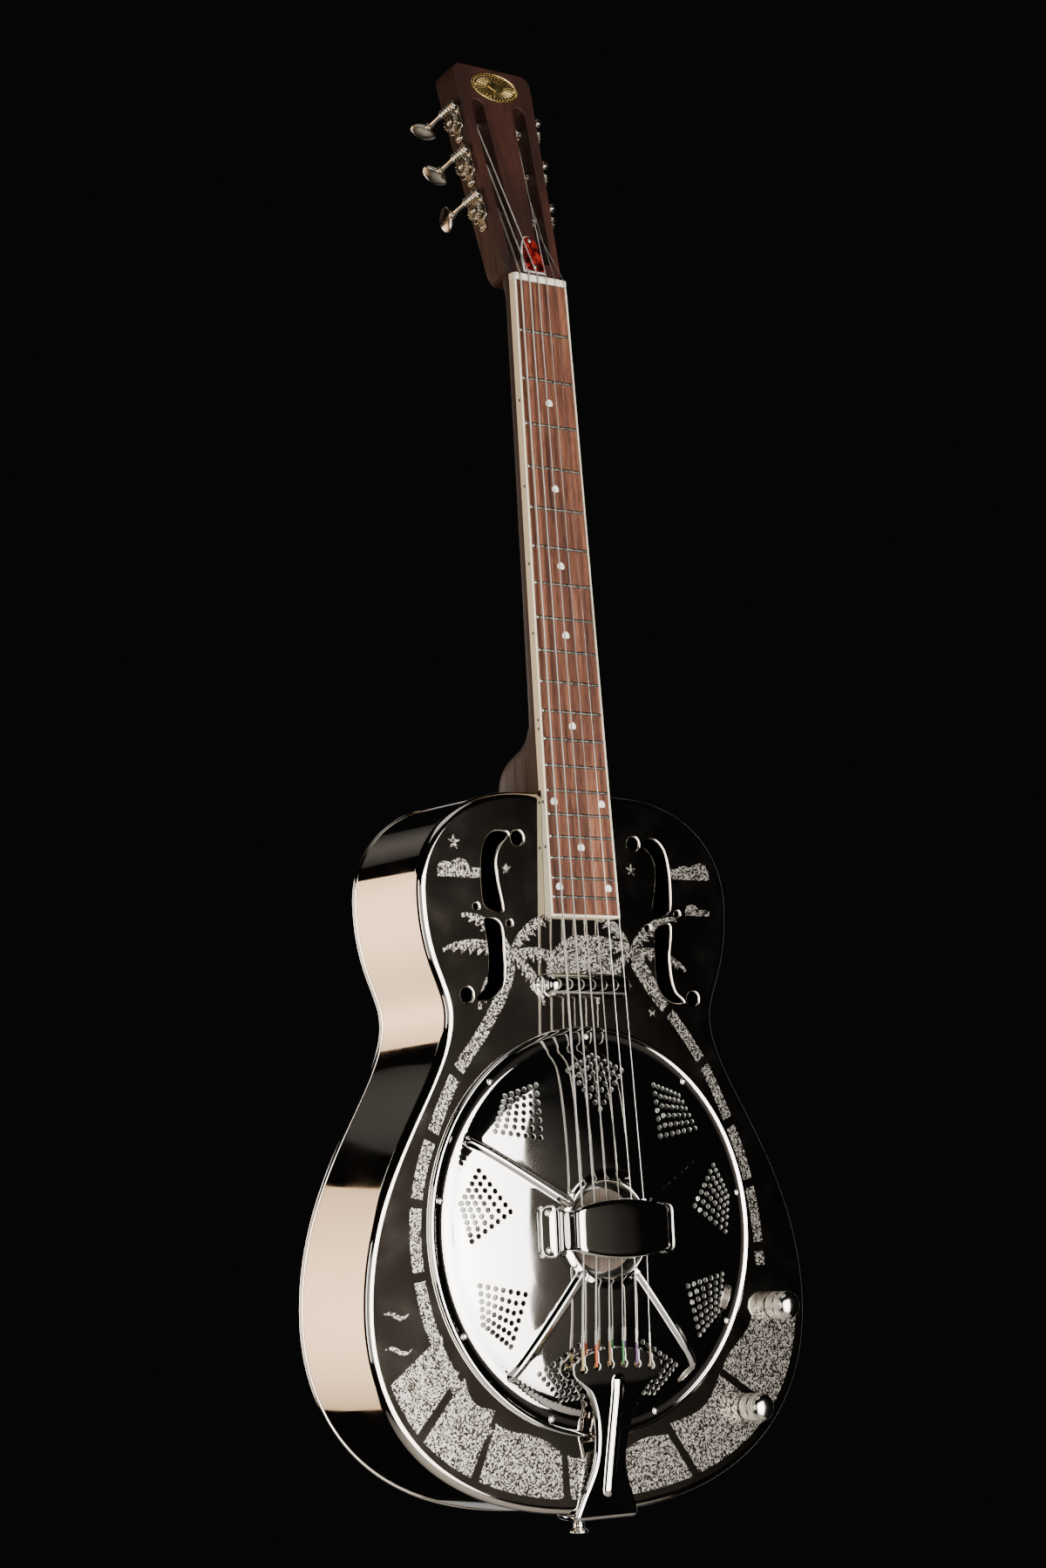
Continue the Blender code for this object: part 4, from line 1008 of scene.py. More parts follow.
def dome_spots(centres):
    """Points for the sheet's mesh in rings, except on the ribs and close to the holes."""
    cells = {}
    for c in centres:
        cells.setdefault((int(c.x // CELL), int(c.y // CELL)), []).append(c)

    def near_hole(p):
        i, j = int(p.x // CELL), int(p.y // CELL)
        around = [c for a in (-1, 0, 1) for b in (-1, 0, 1) for c in cells.get((i + a, j + b), ())]
        return any((c - p).length < HOLE_RADIUS + 1.0 for c in around)

    spots = []
    for number, radius in enumerate(COVER_RADII):
        count = max(60, int(TURN * radius / 4))
        for k in range(count):
            turn = TURN * (k + 0.5 * (number % 2)) / count
            p = Vector((radius * math.cos(turn), radius * math.sin(turn)))
            if rib_height(p.x, p.y) == 0.0 and not near_hole(p):
                spots.append(p)
    return spots


def cover_circle(radius):
    """The coverplate's surface points and normals round a circle."""
    found = [cover_surface(x, z) for x, z in circle(0, 0, radius, COVER_SIDES)]
    return [point for point, normal in found], [normal for point, normal in found]


def add_hole_lip(shape, c, front, rear):
    """The lip round one hole, from its points on the sheet's front and rear."""
    rings = [front]
    for radius, lift, angle in HOLE_LIP:
        points = []
        normals = []
        for x, z in circle(c.x, c.y, radius, HOLE_SIDES):
            base, normal = cover_surface(c.x + (x - c.x) * HOLE_RADIUS / radius,
                                         c.y + (z - c.y) * HOLE_RADIUS / radius)
            inward = Vector((c.x - x, 0, c.y - z)).normalized()
            base = base + inward * (HOLE_RADIUS - radius)
            points.append(base + normal * lift)
            normals.append(normal * math.cos(angle) + inward * math.sin(angle))
        rings.append(shape.ring(points, normals))
    shape.skins(rings, False)
    behind = shape.ring([shape.verts[k] for k in rings[-1]], [-shape.normals[k] for k in front])
    shape.skin(rear, behind, 1)


def add_cover_edges(shape):
    """The dome's inner and outer borders, which no hole cuts, and the two turned edges."""
    given = [entry[0] for entry in COVER_HEIGHTS]
    for radii in ([r for r in given if r <= COVER_FLAT[0]], [r for r in given if r >= COVER_FLAT[1]]):
        fine = []
        for a, b in zip(radii, radii[1:]):
            fine += [a, (a + b) / 2]
        fine.append(radii[-1])
        shape.skins([shape.ring(*cover_circle(radius)) for radius in fine])
    ways = [Vector((x, 0, z)) for x, z in circle(0, 0, 1, COVER_SIDES)]
    for limit, wall, sign in ((COVER_FLAT[0], INNER_WALL, -1), (COVER_FLAT[1], OUTER_WALL, 1)):
        rings = []
        for radius, height, lean in wall:
            facing = [(way * sign * math.cos(lean) + Vector((0, -math.sin(lean), 0))) for way in ways]
            rings.append(shape.ring([way * radius + Vector((0, -height, 0)) for way in ways], facing))
        points, normals = cover_circle(limit)
        rings.append(shape.ring([p - n * SHEET for p, n in zip(points, normals)], [-n for n in normals]))
        for k, (low, high) in enumerate(zip(rings, rings[1:])):
            shape.skin(low, high, 0 if k < 2 else 1)


def make_coverplate():
    centres = perforations()
    borders = [circle(c.x, c.y, HOLE_RADIUS, HOLE_SIDES) for c in centres]
    cuts = [circle(0, 0, COVER_FLAT[0], COVER_SIDES), *borders]
    spots = rib_spots() + dome_spots(centres)
    verts, faces, _ = flat_fill([circle(0, 0, COVER_FLAT[1], COVER_SIDES)], cuts, (), spots)
    shape = Shape()
    front = []
    rear = []
    for p in verts:
        point, normal = cover_surface(p.x, p.y)
        front.append(shape.point(point, normal))
        rear.append(shape.point(point - normal * SHEET, -normal))
    for face in faces:
        shape.face([front[k] for k in face])
        shape.face([rear[k] for k in reversed(face)], 1)
    nearest = KDTree(len(verts))
    for number, p in enumerate(verts):
        nearest.insert((p.x, p.y, 0), number)
    nearest.balance()
    for c, border in zip(centres, borders):
        found = [nearest.find((x, z, 0))[1] for x, z in border]
        add_hole_lip(shape, c, [front[k] for k in found], [rear[k] for k in found])
    add_cover_edges(shape)
    piece("cover_dome", shape, [CHROME, DARK_METAL_SHADE], ["coverplate"])


def screw(radius, height, slot_width):
    """A round-headed screw with a cross recess, its head standing up local Z from 0."""
    dome = [(radius * math.sin(PI / 2 * (1 - k / 7)) + 0.01, height * math.sin(PI / 2 * k / 7) ** 0.9)
            for k in range(8)]
    head = spun([(radius, -0.6), (radius, 0.0), *dome[1:]], 20)
    arm = radius * 0.55
    half = slot_width / 2
    cross = [(half, half), (arm, half), (arm, -half), (half, -half), (half, -arm), (-half, -arm),
             (-half, -half), (-arm, -half), (-arm, half), (-half, half), (-half, arm), (half, arm)]
    cutter = rings_shape([[(x, y, height * 0.45) for x, y in reversed(cross)],
                          [(x, y, height + 1) for x, y in reversed(cross)]])
    return cut_shape(head, cutter)


def cut_shape(base, cutter):
    """The first shape less the second."""
    objects = []
    for shape in (base, cutter):
        mesh = bpy.data.meshes.new("work")
        mesh.from_pydata(shape.verts, [], shape.faces)
        objects.append(add_object("work", mesh))
    modifier = objects[0].modifiers.new("cut", "BOOLEAN")
    modifier.operation = "DIFFERENCE"
    modifier.object = objects[1]
    result = bpy.data.meshes.new_from_object(objects[0].evaluated_get(bpy.context.evaluated_depsgraph_get()))
    shape = Shape()
    for vertex in result.vertices:
        shape.point(vertex.co)
    for polygon in result.polygons:
        shape.face(polygon.vertices)
    for item in objects:
        bpy.data.objects.remove(item, do_unlink=True)
    bpy.data.meshes.remove(result)
    return shape


def make_cover_screws():
    head = screw(2.3, 1.2, 0.6)
    for number, angle in enumerate(SCREW_ANGLES):
        turn = math.radians(angle)
        x, z = SCREW_CIRCLE * math.cos(turn), SCREW_CIRCLE * math.sin(turn)
        place = at(x, -cover_height(SCREW_CIRCLE), z) @ FACING_FRONT @ spin(1.3 * number)
        piece(f"cover_screw_{number + 1}", head, PLATED, place=place)


def strip(route, gauge, steps=4):
    """A bent strip along (x, y, half width, roll) stations: its long edges turn in by the roll."""
    fine = smooth_loop(route, steps, closed=False)
    rings = []
    for k, here in enumerate(fine):
        along = heading(fine, k)
        inner = Vector((along.y, -along.x))
        half, roll = here[2], here[3]
        edge = ((0, 0), (0.33 * half, 0), (0.62 * half, 0.02 * roll), (half - 3.4, 0.06 * roll),
                (half - 2.2, 0.2 * roll), (half - 1.2, 0.5 * roll), (half - 0.4, roll),
                (half, 1.6 * roll + 0.3), (half - 0.1, 1.8 * roll + 0.8),
                (half - 0.8, 1.4 * roll + gauge), (half - 2.2, 0.4 * roll + gauge), (half - 4, gauge),
                (0, gauge))
        ring = [(here[0] + inner.x * depth, here[1] + inner.y * depth, across) for across, depth in edge]
        ring += [(x, y, -z) for x, y, z in reversed(ring[1:-1])]
        rings.append(ring)
    return rings_shape(rings)


def make_handrest():
    """The arched rest over the saddle: stepped feet, ridged legs and a wide, nearly flat crown."""
    half = [(56.8, -15.0, 12.5, 0), (56.2, -15.4, 14.8, 0), (55, -15.5, 16.6, 0), (50, -15.7, 17, 0),
            (45.8, -15.9, 16.6, 0), (44.6, -16.6, 15.6, 0), (43.8, -18.2, 13.8, 0), (42.9, -19.2, 13, 0),
            (41.9, -19.9, 12.8, 0), (41.2, -21.8, 12.8, 0.2), (40.5, -25, 12.9, 0.5),
            (39.7, -28, 13.2, 0.8), (38.9, -30.6, 13.7, 1.1), (37.4, -32.3, 14.4, 1.3),
            (35, -33.1, 15.2, 1.4), (30, -33.45, 16.4, 1.4), (20, -33.75, 18.2, 1.4),
            (10, -33.95, 19.2, 1.4)]
    route = mirrored(half + [(0, -34, 19.5, 1.4)], last=1)
    piece("hand_rest", strip(route, 0.9), CHROME, ["handrest"], angle=50)
    for side in (-1, 1):
        corner = [(45, 16.2), (50.5, 16.2), (54.2, 14.9), (56, 11.4), (56, 0)]
        corner += [(x, -z) for x, z in reversed(corner[:-1])]
        corner = smooth_loop([(side * x, z) for x, z in corner], 4, closed=False)
        bead = tube([(p.x, -15.4, p.y) for p in corner], 0.75, 8)
        piece(f"foot_bead_{SIDE_NAMES[side]}", bead, CHROME)
        for z in (-12, 12):
            place = at(side * 50.2, -15.6, z) @ FACING_FRONT @ spin(0.4 + z)
            name = f"rest_screw_{SIDE_NAMES[side]}_{'low' if z < 0 else 'high'}"
            piece(name, screw(2.2, 1.3, 0.6), PLATED, place=place)


TAIL_HEAD_HALF = 37


def tail_front_edge(x):
    return -77 - 8 * (x / TAIL_HEAD_HALF) ** 2


def tail_hole_z(x):
    return -87.5 - 4 * (x / TAIL_HEAD_HALF) ** 2


def string_x(number, pitch):
    return (3.5 - number) * pitch


# The sheet's edge as (how far out, how far behind the front face): cut square, and turned in
SQUARE_EDGE = ((-0.35, 0), (-0.175, 0.047), (-0.047, 0.175), (0, 0.35), (0, 0.85), (-0.047, 1.025),
               (-0.175, 1.153), (-0.35, 1.2))
TURNED_EDGE = ((-3.2, 0), (-1.7, 0.25), (-0.6, 1.1), (0, 2.3), (-0.1, 2.9), (-0.9, 2.9), (-1.6, 2.0),
               (-3.2, 1.2))
# The tailpiece from its fan-shaped head over the body's end: (z, height in front of the top, half width)
TAIL_STATIONS = ((-93, 18.6, 36.6), (-96, 18.6, 34.6), (-99, 18.5, 30.8), (-102, 18.2, 27.0),
                 (-106, 17.6, 23.4), (-111, 16.6, 20.6), (-118, 15.1, 17.6), (-126, 13.3, 15.2),
                 (-135, 11.4, 13.7), (-146, 9.0, 13.2), (-156, 6.9, 14.6), (-166, 4.9, 18.2),
                 (-170.5, 4.1, 20.3), (-175, 3.3, 22.3), (-182, 2.2, 25.2), (-185.4, 1.5, 26.2),
                 (-187.2, 0.2, 26.6), (-187.9, -1.6, 26.7), (-188, -4, 26.6), (-188, -12, 25),
                 (-188, -26, 19.5), (-188, -36, 13), (-188, -38, 10))
TAIL_SHEET = 1.2
TAIL_END_Z = -188
TAIL_RIB = (-99.5, -168.5)
TAIL_RIB_HALF = 5.58
TAIL_CROWN = (4.6, 7.0)  # half width and radius of the rib's crown
TAIL_FILLET = 1.5


def tail_head():
    """The head's curved front edge with six keyholes open to it, from its lower left to its lower right."""
    half, hole, slot = TAIL_HEAD_HALF, 2.6, 1.2
    points = [(-36.6, -93), (-36.95, -90)]
    points += arc(-half + 4, tail_front_edge(-half) - 4, 4, PI, -PI / 2, 4)
    for number in range(6, 0, -1):
        x = string_x(number, TAIL_PITCH)
        z = tail_hole_z(x)
        points.append((x - slot - 0.8, tail_front_edge(x - slot)))
        points.append((x - slot, tail_front_edge(x - slot) - 0.8))
        opening = math.asin(slot / hole)
        points += arc(x, z, hole, PI / 2 + opening, TURN - 2 * opening, 14)
        points.append((x + slot, tail_front_edge(x + slot) - 0.8))
        points.append((x + slot + 0.8, tail_front_edge(x + slot)))
    points += arc(half - 4, tail_front_edge(half) - 4, 4, PI / 2, -PI / 2, 4)
    return points + [(36.95, -90), (36.6, -93)]


def tail_rib_rise(away):
    """The rib's height at a distance from its spine: a broad crown with a small hollow at its foot."""
    reach, radius = TAIL_CROWN
    gap = min(max(TAIL_RIB_HALF - away, 0), TAIL_RIB_HALF - reach)
    foot = TAIL_FILLET - math.sqrt(TAIL_FILLET ** 2 - gap ** 2)
    crown = math.sqrt(radius ** 2 - min(away, reach) ** 2) - math.sqrt(radius ** 2 - reach ** 2)
    return foot + crown


def tail_section(z, half):
    """One cut across the tailpiece as (x, how far behind the front face), front first, then the back."""
    turned = min(max((-z - 95) / 9, 0), 1)
    along = min(max(z, TAIL_RIB[1]), TAIL_RIB[0])
    flat = half + SQUARE_EDGE[0][0] + (TURNED_EDGE[0][0] - SQUARE_EDGE[0][0]) * turned
    front = []
    for x in (0, 1.1, 2.1, 3.0, 3.8, 4.4, 4.7, 4.9, 5.1, 5.3, 5.45, TAIL_RIB_HALF):
        front.append((x, -tail_rib_rise(math.hypot(x, z - along))))
    front += [(TAIL_RIB_HALF + (flat - TAIL_RIB_HALF) * share, 0) for share in (0.3, 0.65)]
    edge = []
    for (o0, d0), (o1, d1) in zip(SQUARE_EDGE, TURNED_EDGE):
        edge.append((half + o0 + (o1 - o0) * turned, d0 + (d1 - d0) * turned))
    back = [(x, TAIL_SHEET) for x, _ in reversed(front)]
    return mirrored(front + edge + back, 1, 1)


def make_tailpiece():
    front_y, back_y = -TAIL_STATIONS[0][1], -TAIL_STATIONS[0][1] + TAIL_SHEET
    shape = Shape()
    fine = smooth_loop(TAIL_STATIONS, 5, closed=False)
    rings = []
    for k, here in enumerate(fine):
        along = heading(fine, k)
        behind = Vector((-along.y, along.x)) if k else Vector((0, -1))
        rings.append([(x, -(here.y + behind.y * depth), here.x + behind.x * depth)
                      for x, depth in tail_section(here.x if here.y > 1 else TAIL_END_Z, here.z)])
    shape.join(rings_shape(rings, caps=False))
    shape.face(shape.ring(rings[-1]))
    top = tail_head()
    away = outward(top)
    away[0], away[-1] = Vector((-1, 0)), Vector((1, 0))
    low = TAIL_STATIONS[0][0]
    section = [x for x, depth in tail_section(low, TAIL_STATIONS[0][2])]
    flat_x = sorted({round(x, 4) for x in section if abs(x) < 36.2})
    walls = []
    for out, depth in SQUARE_EDGE:
        walls.append([(p[0] + n.x * out, front_y + depth, p[1] + n.y * out) for p, n in zip(top, away)])
    for y, ring in ((front_y, walls[0]), (back_y, walls[-1])):
        loop = [(x, z) for x, _, z in ring] + [(x, low) for x in reversed(flat_x)]
        verts, faces, _ = flat_fill([loop], [])
        numbers = [shape.point((p.x, y, p.y)) for p in verts]
        for face in faces:
            shape.face([numbers[k] for k in face])
    shape.join(rings_shape(walls, closed=False))
    piece("tail_plate", shape, CHROME, ["tailpiece"], angle=50)
    button = [(2.2, -4), (2.2, 0.3), (5.4, 0.3), (6, 0.9), (6, 1.5), (4.6, 2.5), (3.7, 3.6), (3.6, 5.6),
              (4.2, 7.0), (5.5, 8.2), (6.2, 9.0), (6.1, 9.8), (5.4, 10.3)]
    fine = [tuple(p) for p in smooth_loop(button[2:], 3, closed=False)]
    place = at(0, 30, TAIL_END_Z) @ FACING_DOWN
    piece("end_button", spun([button[0], button[1], *fine], 32), CHROME, ["strap_button"], place=place,
          angle=50)


# ---------------------------------------------------------------- neck


def board_top(z):
    return BOARD_TOP_AT_NUT - NECK_SLOPE * (NUT_Z - z)


def board_half_width(z):
    return NUT_HALF_WIDTH + BOARD_TAPER * (NUT_Z - z)


def head_point(x, s, depth):
    return HEAD_ORIGIN + Vector((x, 0, 0)) + HEAD_UP * s + HEAD_BACK * depth


def head_half_width(s):
    share = (s - HEAD_FOOT_S) / (HEAD_SHOULDER_S - HEAD_FOOT_S)
    return HEAD_HALF_FOOT + (HEAD_HALF_TOP - HEAD_HALF_FOOT) * share


def slot_centre(s):
    return 13.2 + (s - 20) * 5 / 120


HEAD_PLACE = Matrix((Vector((1, 0, 0)), HEAD_BACK, HEAD_UP)).transposed().to_4x4()
HEAD_PLACE.translation = HEAD_ORIGIN


def head_outline():
    corner = 8
    lower = smooth_loop([(20, 6.5), (22.4, 8.6), (24.4, 13)], 4, closed=False)[:-1]
    half = [tuple(p) for p in lower] + [(24.75, 14)]
    half.append((HEAD_HALF_TOP, HEAD_SHOULDER_S - corner / 2))
    half += arc(HEAD_HALF_TOP - corner, HEAD_LENGTH - corner, corner, 0, PI / 2, 10)[1:]
    return mirrored(half)


def slot_outline(side):
    points = []
    for centre_s, start in ((142, 0), (24, PI)):
        points += arc(side * slot_centre(centre_s), centre_s, SLOT_HALF_WIDTH, start, PI, 12)
    return points


def make_neck():
    stations = [(293.4, 74, 0.93), (300, 72, 0.94), (307, 70, 0.95), (313, 67, 0.96), (318, 61, 0.97),
                (321, 55, 0.98), (324, 46.5, 0.985), (326.5, 38, 0.99), (329.5, 31, 1), (333, 26, 1),
                (338, 22.5, 1), (349, 19, 1), (450, 17.2, 1), (550, 16, 1), (636, 15.2, 1), (648, 17, 1),
                (655, 19.5, 1), (661, 20.6, 1)]
    fine = smooth_loop(stations, 6, closed=False)
    rings = []
    for z, depth, share in fine:
        top = board_top(z) + BOARD_THICKNESS + 0.2
        half = board_half_width(z) * share
        ring = []
        for k in range(41):
            turn = PI * k / 40
            ring.append((-half * math.cos(turn), top + depth * math.sin(turn) ** 0.85, z))
        rings.append(ring)
    piece("neck_shaft", rings_shape(rings), MAHOGANY, ["neck"], angle=45)
    head = slab(head_outline(), [slot_outline(-1), slot_outline(1)], 0, HEAD_THICKNESS, 1.1, 3)
    piece("headstock", head, MAHOGANY, place=HEAD_PLACE)


def fret_z(number):
    return NUT_Z - SCALE_LENGTH * (1 - 2 ** (-number / 12))


def behind_fret(number):
    """Halfway between a fret and the one before it."""
    return (fret_z(number) + fret_z(number - 1)) / 2


def make_frets():
    frets = Shape()
    for number in range(1, 20):
        z = fret_z(number)
        half = board_half_width(z) - 1.75
        rings = []
        for x, size in ((-half, 0.25), (-half + 0.35, 0.8), (-half + 1.0, 1), (half - 1.0, 1),
                        (half - 0.35, 0.8), (half, 0.25)):
            ring = []
            for k in range(9):
                turn = PI * k / 8
                ring.append((x, board_top(z) - 0.03 - 1.05 * size * math.sin(turn),
                             z - 1.25 * math.cos(turn)))
            ring.append((x, board_top(z) + 0.2, z + 1.1))
            ring.append((x, board_top(z) + 0.2, z - 1.1))
            rings.append(ring)
        frets.join(rings_shape(rings))
    piece("frets", frets, FRET, angle=60)
    dots = Shape()
    spots = [(3, 0), (5, 0), (7, 0), (9, 0), (12, 0), (15, -20.5), (15, 20.5), (17, 0), (19, -21), (19, 21)]
    disc = spun([(3.0, -0.3), (3.0, 0.03), (2.8, 0.07)], 28)
    for number, x in spots:
        z = behind_fret(number)
        dots.join(disc, at(x, board_top(z), z) @ FACING_FRONT)
    piece("pearl_dots", dots, PEARL)
    side_dots = Shape()
    disc = spun([(1.1, -0.3), (1.1, 0.04), (1.0, 0.07)], 16)
    for number, shift in ((3, 0), (5, 0), (7, 0), (9, 0), (12, -3), (12, 3), (15, 0), (17, 0)):
        z = behind_fret(number) + shift
        place = at(-board_half_width(z), board_top(z) + 2.2, z) @ Matrix.Rotation(-PI / 2, 4, "Y")
        side_dots.join(disc, place)
    piece("side_dots", side_dots, BLACK)


def make_nut():
    half = NUT_HALF_WIDTH
    low, high = NUT_Z + 0.3, NUT_Z + 5.2
    front = BOARD_TOP_AT_NUT - 1.2
    back = board_top(high) + BOARD_THICKNESS
    profile = [(half, back), (half, front + 2), *arc(half - 2, front + 2, 2, 0, -PI / 2, 4)[1:]]
    for number in range(1, 7):
        x = string_x(number, NUT_PITCH)
        radius = STRING_RADII[number - 1] + 0.08
        groove = arc(x, front + 0.1, radius, 0, PI, 6)[1:-1]
        profile += [(x + radius, front), *groove, (x - radius, front)]
    profile += arc(2 - half, front + 2, 2, -PI / 2, -PI / 2, 4)[:-1]
    profile += [(-half, front + 2), (-half, back)]
    rings = []
    for z, drop in ((low, 0.5), (low + 0.5, 0.08), (low + 1.2, 0), (high - 1.6, 0), (high - 0.6, 0.25),
                    (high, 0.9)):
        rings.append([(x, y + (drop if y < front + 2.5 else 0), z) for x, y in profile])
    piece("nut_bone", rings_shape(rings), BONE, ["nut"])


def make_head_trim():
    cover = [(9.5, 9.3), (9.5, 20)]
    cover += [tuple(p) for p in smooth_loop([(9.5, 20), (8.2, 27), (6.2, 33), (4.5, 36.5), (2.2, 37.9),
                                             (0, 38.1)], 3, closed=False)][1:]
    outline = mirrored(cover, last=1)
    white = slab(outline, [], -1.5, -0.3, 0.15, 1, back_radius=0)
    red = slab(grown(outline, -0.75), [], -2.5, -1.5, 0.35, 3, back_radius=0)
    piece("rod_cover_ply", white, WHITE_PLY, ["truss_rod_cover"], place=HEAD_PLACE)
    piece("rod_cover_shell", red, TORTOISE, place=HEAD_PLACE)
    small = screw(1.7, 0.9, 0.45)
    for number, s in enumerate((13.4, 34.2)):
        place = HEAD_PLACE @ at(0, -2.5, s) @ FACING_FRONT @ spin(0.5 + number)
        piece(f"rod_cover_screw_{number + 1}", small, PLATED, place=place)
    # The badge: an oval with a raised rim, a beaded border, rays and a plain lozenge
    badge = Shape()
    oval = ellipse(21, 11.8, 64)
    steps = ((1.0, 0.3), (1.0, 1.0), (0.985, 1.25), (0.955, 1.3), (0.93, 1.15), (0.92, 0.8), (0.4, 0.95),
             (0.02, 1.0))
    rings = [[(x * size, -height, s * size) for x, s in oval] for size, height in steps]
    badge.join(rings_shape(rings))
    bead = spun([(0.42, -0.1), (0.42, 0.12), (0.3, 0.34), (0.08, 0.42)], 8)
    for x, z in ellipse(18.6, 9.7, 44):
        badge.join(bead, at(x, -0.8, z) @ FACING_FRONT)
    for k in range(28):
        turn = TURN * (k + 0.5) / 28
        way = unit(turn)
        across = Vector((-way.y, way.x))
        start, end = Vector((way.x * 7.6, way.y * 4.2)), Vector((way.x * 16.4, way.y * 8.3))
        rings = []
        for point, half, top in ((start, 0.32, 1.1), (end, 0.62, 1.16)):
            rings.append([(point.x + across.x * o, -y, point.y + across.y * o)
                          for o, y in ((half, 0.8), (half * 0.4, top), (-half * 0.4, top), (-half, 0.8))])
        badge.join(rings_shape(rings))
    lozenge = [[(6.4 * size * x, -height, 3.4 * size * z) for x, z in ((1, 0), (0, 1), (-1, 0), (0, -1))]
               for size, height in ((1.0, 0.8), (1.0, 1.15), (0.82, 1.35), (0.1, 1.4))]
    badge.join(rings_shape(lozenge))
    place = HEAD_PLACE @ at(0, 0, 160)
    piece("badge_oval", badge, BRASS, ["badge"], place=place, angle=50)
    pin = spun([(0.9, -0.2), (0.9, 0.2), (0.6, 0.5), (0.1, 0.6)], 12)
    for side in (-1, 1):
        piece(f"badge_pin_{SIDE_NAMES[side]}", pin, BRASS,
              place=place @ at(side * 17.2, -1.15, 0) @ FACING_FRONT)


# ---------------------------------------------------------------- tuners and strings

GEAR_TEETH = 16
WORM_OFFSET = 10.3
WORM_X = 4.6
BUTTON_START = 21.8  # along the worm's shaft
BUTTON_ANGLES = (70, 25, 60, 20, 35, 95)


def tuner_frame(number):
    side = 1 if number <= 3 else -1
    row = number - 1 if side > 0 else 6 - number
    s = TUNER_S[row]
    lean = math.atan2(HEAD_HALF_TOP - HEAD_HALF_FOOT, HEAD_SHOULDER_S - HEAD_FOOT_S)
    out = Vector((side * math.cos(lean), 0, 0)) - HEAD_UP * math.sin(lean)
    across = HEAD_BACK.cross(out)
    place = Matrix((out, across, HEAD_BACK)).transposed().to_4x4()
    place.translation = head_point(side * head_half_width(s), s, TUNER_DEPTH)
    return side, s, place


def tuner_bracket(up):
    """The scalloped base plate with its two ears for the worm, in the tuner's own axes."""
    half = [(0.0, 18.8), (2.6, 18.0), (3.9, 15.4), (3.4, 13.2), (4.6, 12.0), (6.6, 12.2), (7.4, 10.4),
            (7.5, 5), (7.5, -2), (7.3, -5.6), (6.0, -7.4), (4.2, -7.6), (3.4, -9.2), (3.9, -12.2),
            (2.6, -14.9), (0.0, -15.8)]
    outline = mirrored([tuple(p) for p in smooth_loop(half, 3, closed=False)], 1, 1)
    base = slab(outline, [circle(0, 0, 3.3, 24)], -1.4, -0.3, 0.3, 2)
    # From the slab's axes, x deep into the headstock and z up it, to the tuner's
    turn = Matrix(((0, -1, 0, 0), (0, 0, up, 0), (1, 0, 0, 0), (0, 0, 0, 1)))
    shape = Shape()
    shape.join(base, turn)
    ear = [(1.1, -3.4), (1.1, 3.4), (2.4, 3.5), (WORM_X, 3.3), (6.4, 2.6), (7.3, 1.2), (7.5, 0), (7.3, -1.2),
           (6.4, -2.6), (WORM_X, -3.3), (2.4, -3.5)]
    outline = [(x, y + up * WORM_OFFSET) for x, y in ear]
    for z in (-7.2, 6.0):
        upright = slab(outline, [circle(WORM_X, up * WORM_OFFSET, 1.9, 16)], z, z + 1.2, 0.25, 2)
        shape.join(upright, Matrix(((1, 0, 0, 0), (0, 0, 1, 0), (0, 1, 0, 0), (0, 0, 0, 1))))
    return shape


def gear_wheel():
    outline = []
    for k in range(GEAR_TEETH):
        for share, radius in ((-0.34, 5.7), (-0.24, 6.1), (-0.13, 6.85), (-0.05, 7.0), (0.05, 7.0),
                              (0.13, 6.85), (0.24, 6.1), (0.34, 5.7)):
            turn = TURN * (k + share) / GEAR_TEETH
            outline.append((radius * math.cos(turn), radius * math.sin(turn)))
    return slab(outline, [], 3.0, 6.1, 0.25, 1)


def worm_screw():
    """The worm with its helical thread, its shaft and the small head, along local Z."""
    rings = []
    sides = 20
    pitch = 2.75
    turned = [(-9.2, 0.6), (-9.2, 2.1), (-8.9, 2.4), (-7.9, 2.4), (-7.6, 2.1), (-7.6, 1.5), (-5.8, 1.5)]
    profile = [(z, r, False) for z, r in turned]
    profile += [(-5.7 + 11.4 * k / 46, 2.45, True) for k in range(47)]
    profile += [(z, r, False) for z, r in ((5.8, 1.5), (7.4, 1.5), (7.4, 2.3), (8.2, 2.3), (8.6, 1.6),
                                           (14, 1.45), (19.6, 1.6), (20.6, 2.2), (21.9, 2.3))]
    for z, radius, threaded in profile:
        ring = []
        for k in range(sides):
            turn = TURN * k / sides
            size = radius
            if threaded:
                phase = (z / pitch + k / sides) % 1
                size = radius + 0.5 * math.cos(TURN * phase)
            ring.append((size * math.cos(turn), size * math.sin(turn), z))
        rings.append(ring)
    return rings_shape(rings)


def tuner_button():
    slices = [(0, 2.5, 2.5), (0.4, 2.9, 2.9), (1.8, 2.9, 2.9), (2.4, 3.0, 2.4), (3.2, 4.6, 2.2),
              (4.2, 6.8, 2.3), (5.6, 8.8, 2.55), (7.2, 9.8, 2.75), (8.6, 10, 2.8), (10.2, 9.75, 2.75),
              (12, 8.7, 2.6), (13.6, 6.7, 2.3), (14.6, 4.6, 1.9), (15.2, 2.4, 1.2), (15.35, 0.6, 0.4)]
    fine = smooth_loop(slices, 2, closed=False)
    rings = []
    for distance, wide, thick in fine:
        rings.append([(x, y, BUTTON_START + distance) for x, y in ellipse(wide, thick, 32)])
    return rings_shape(rings)


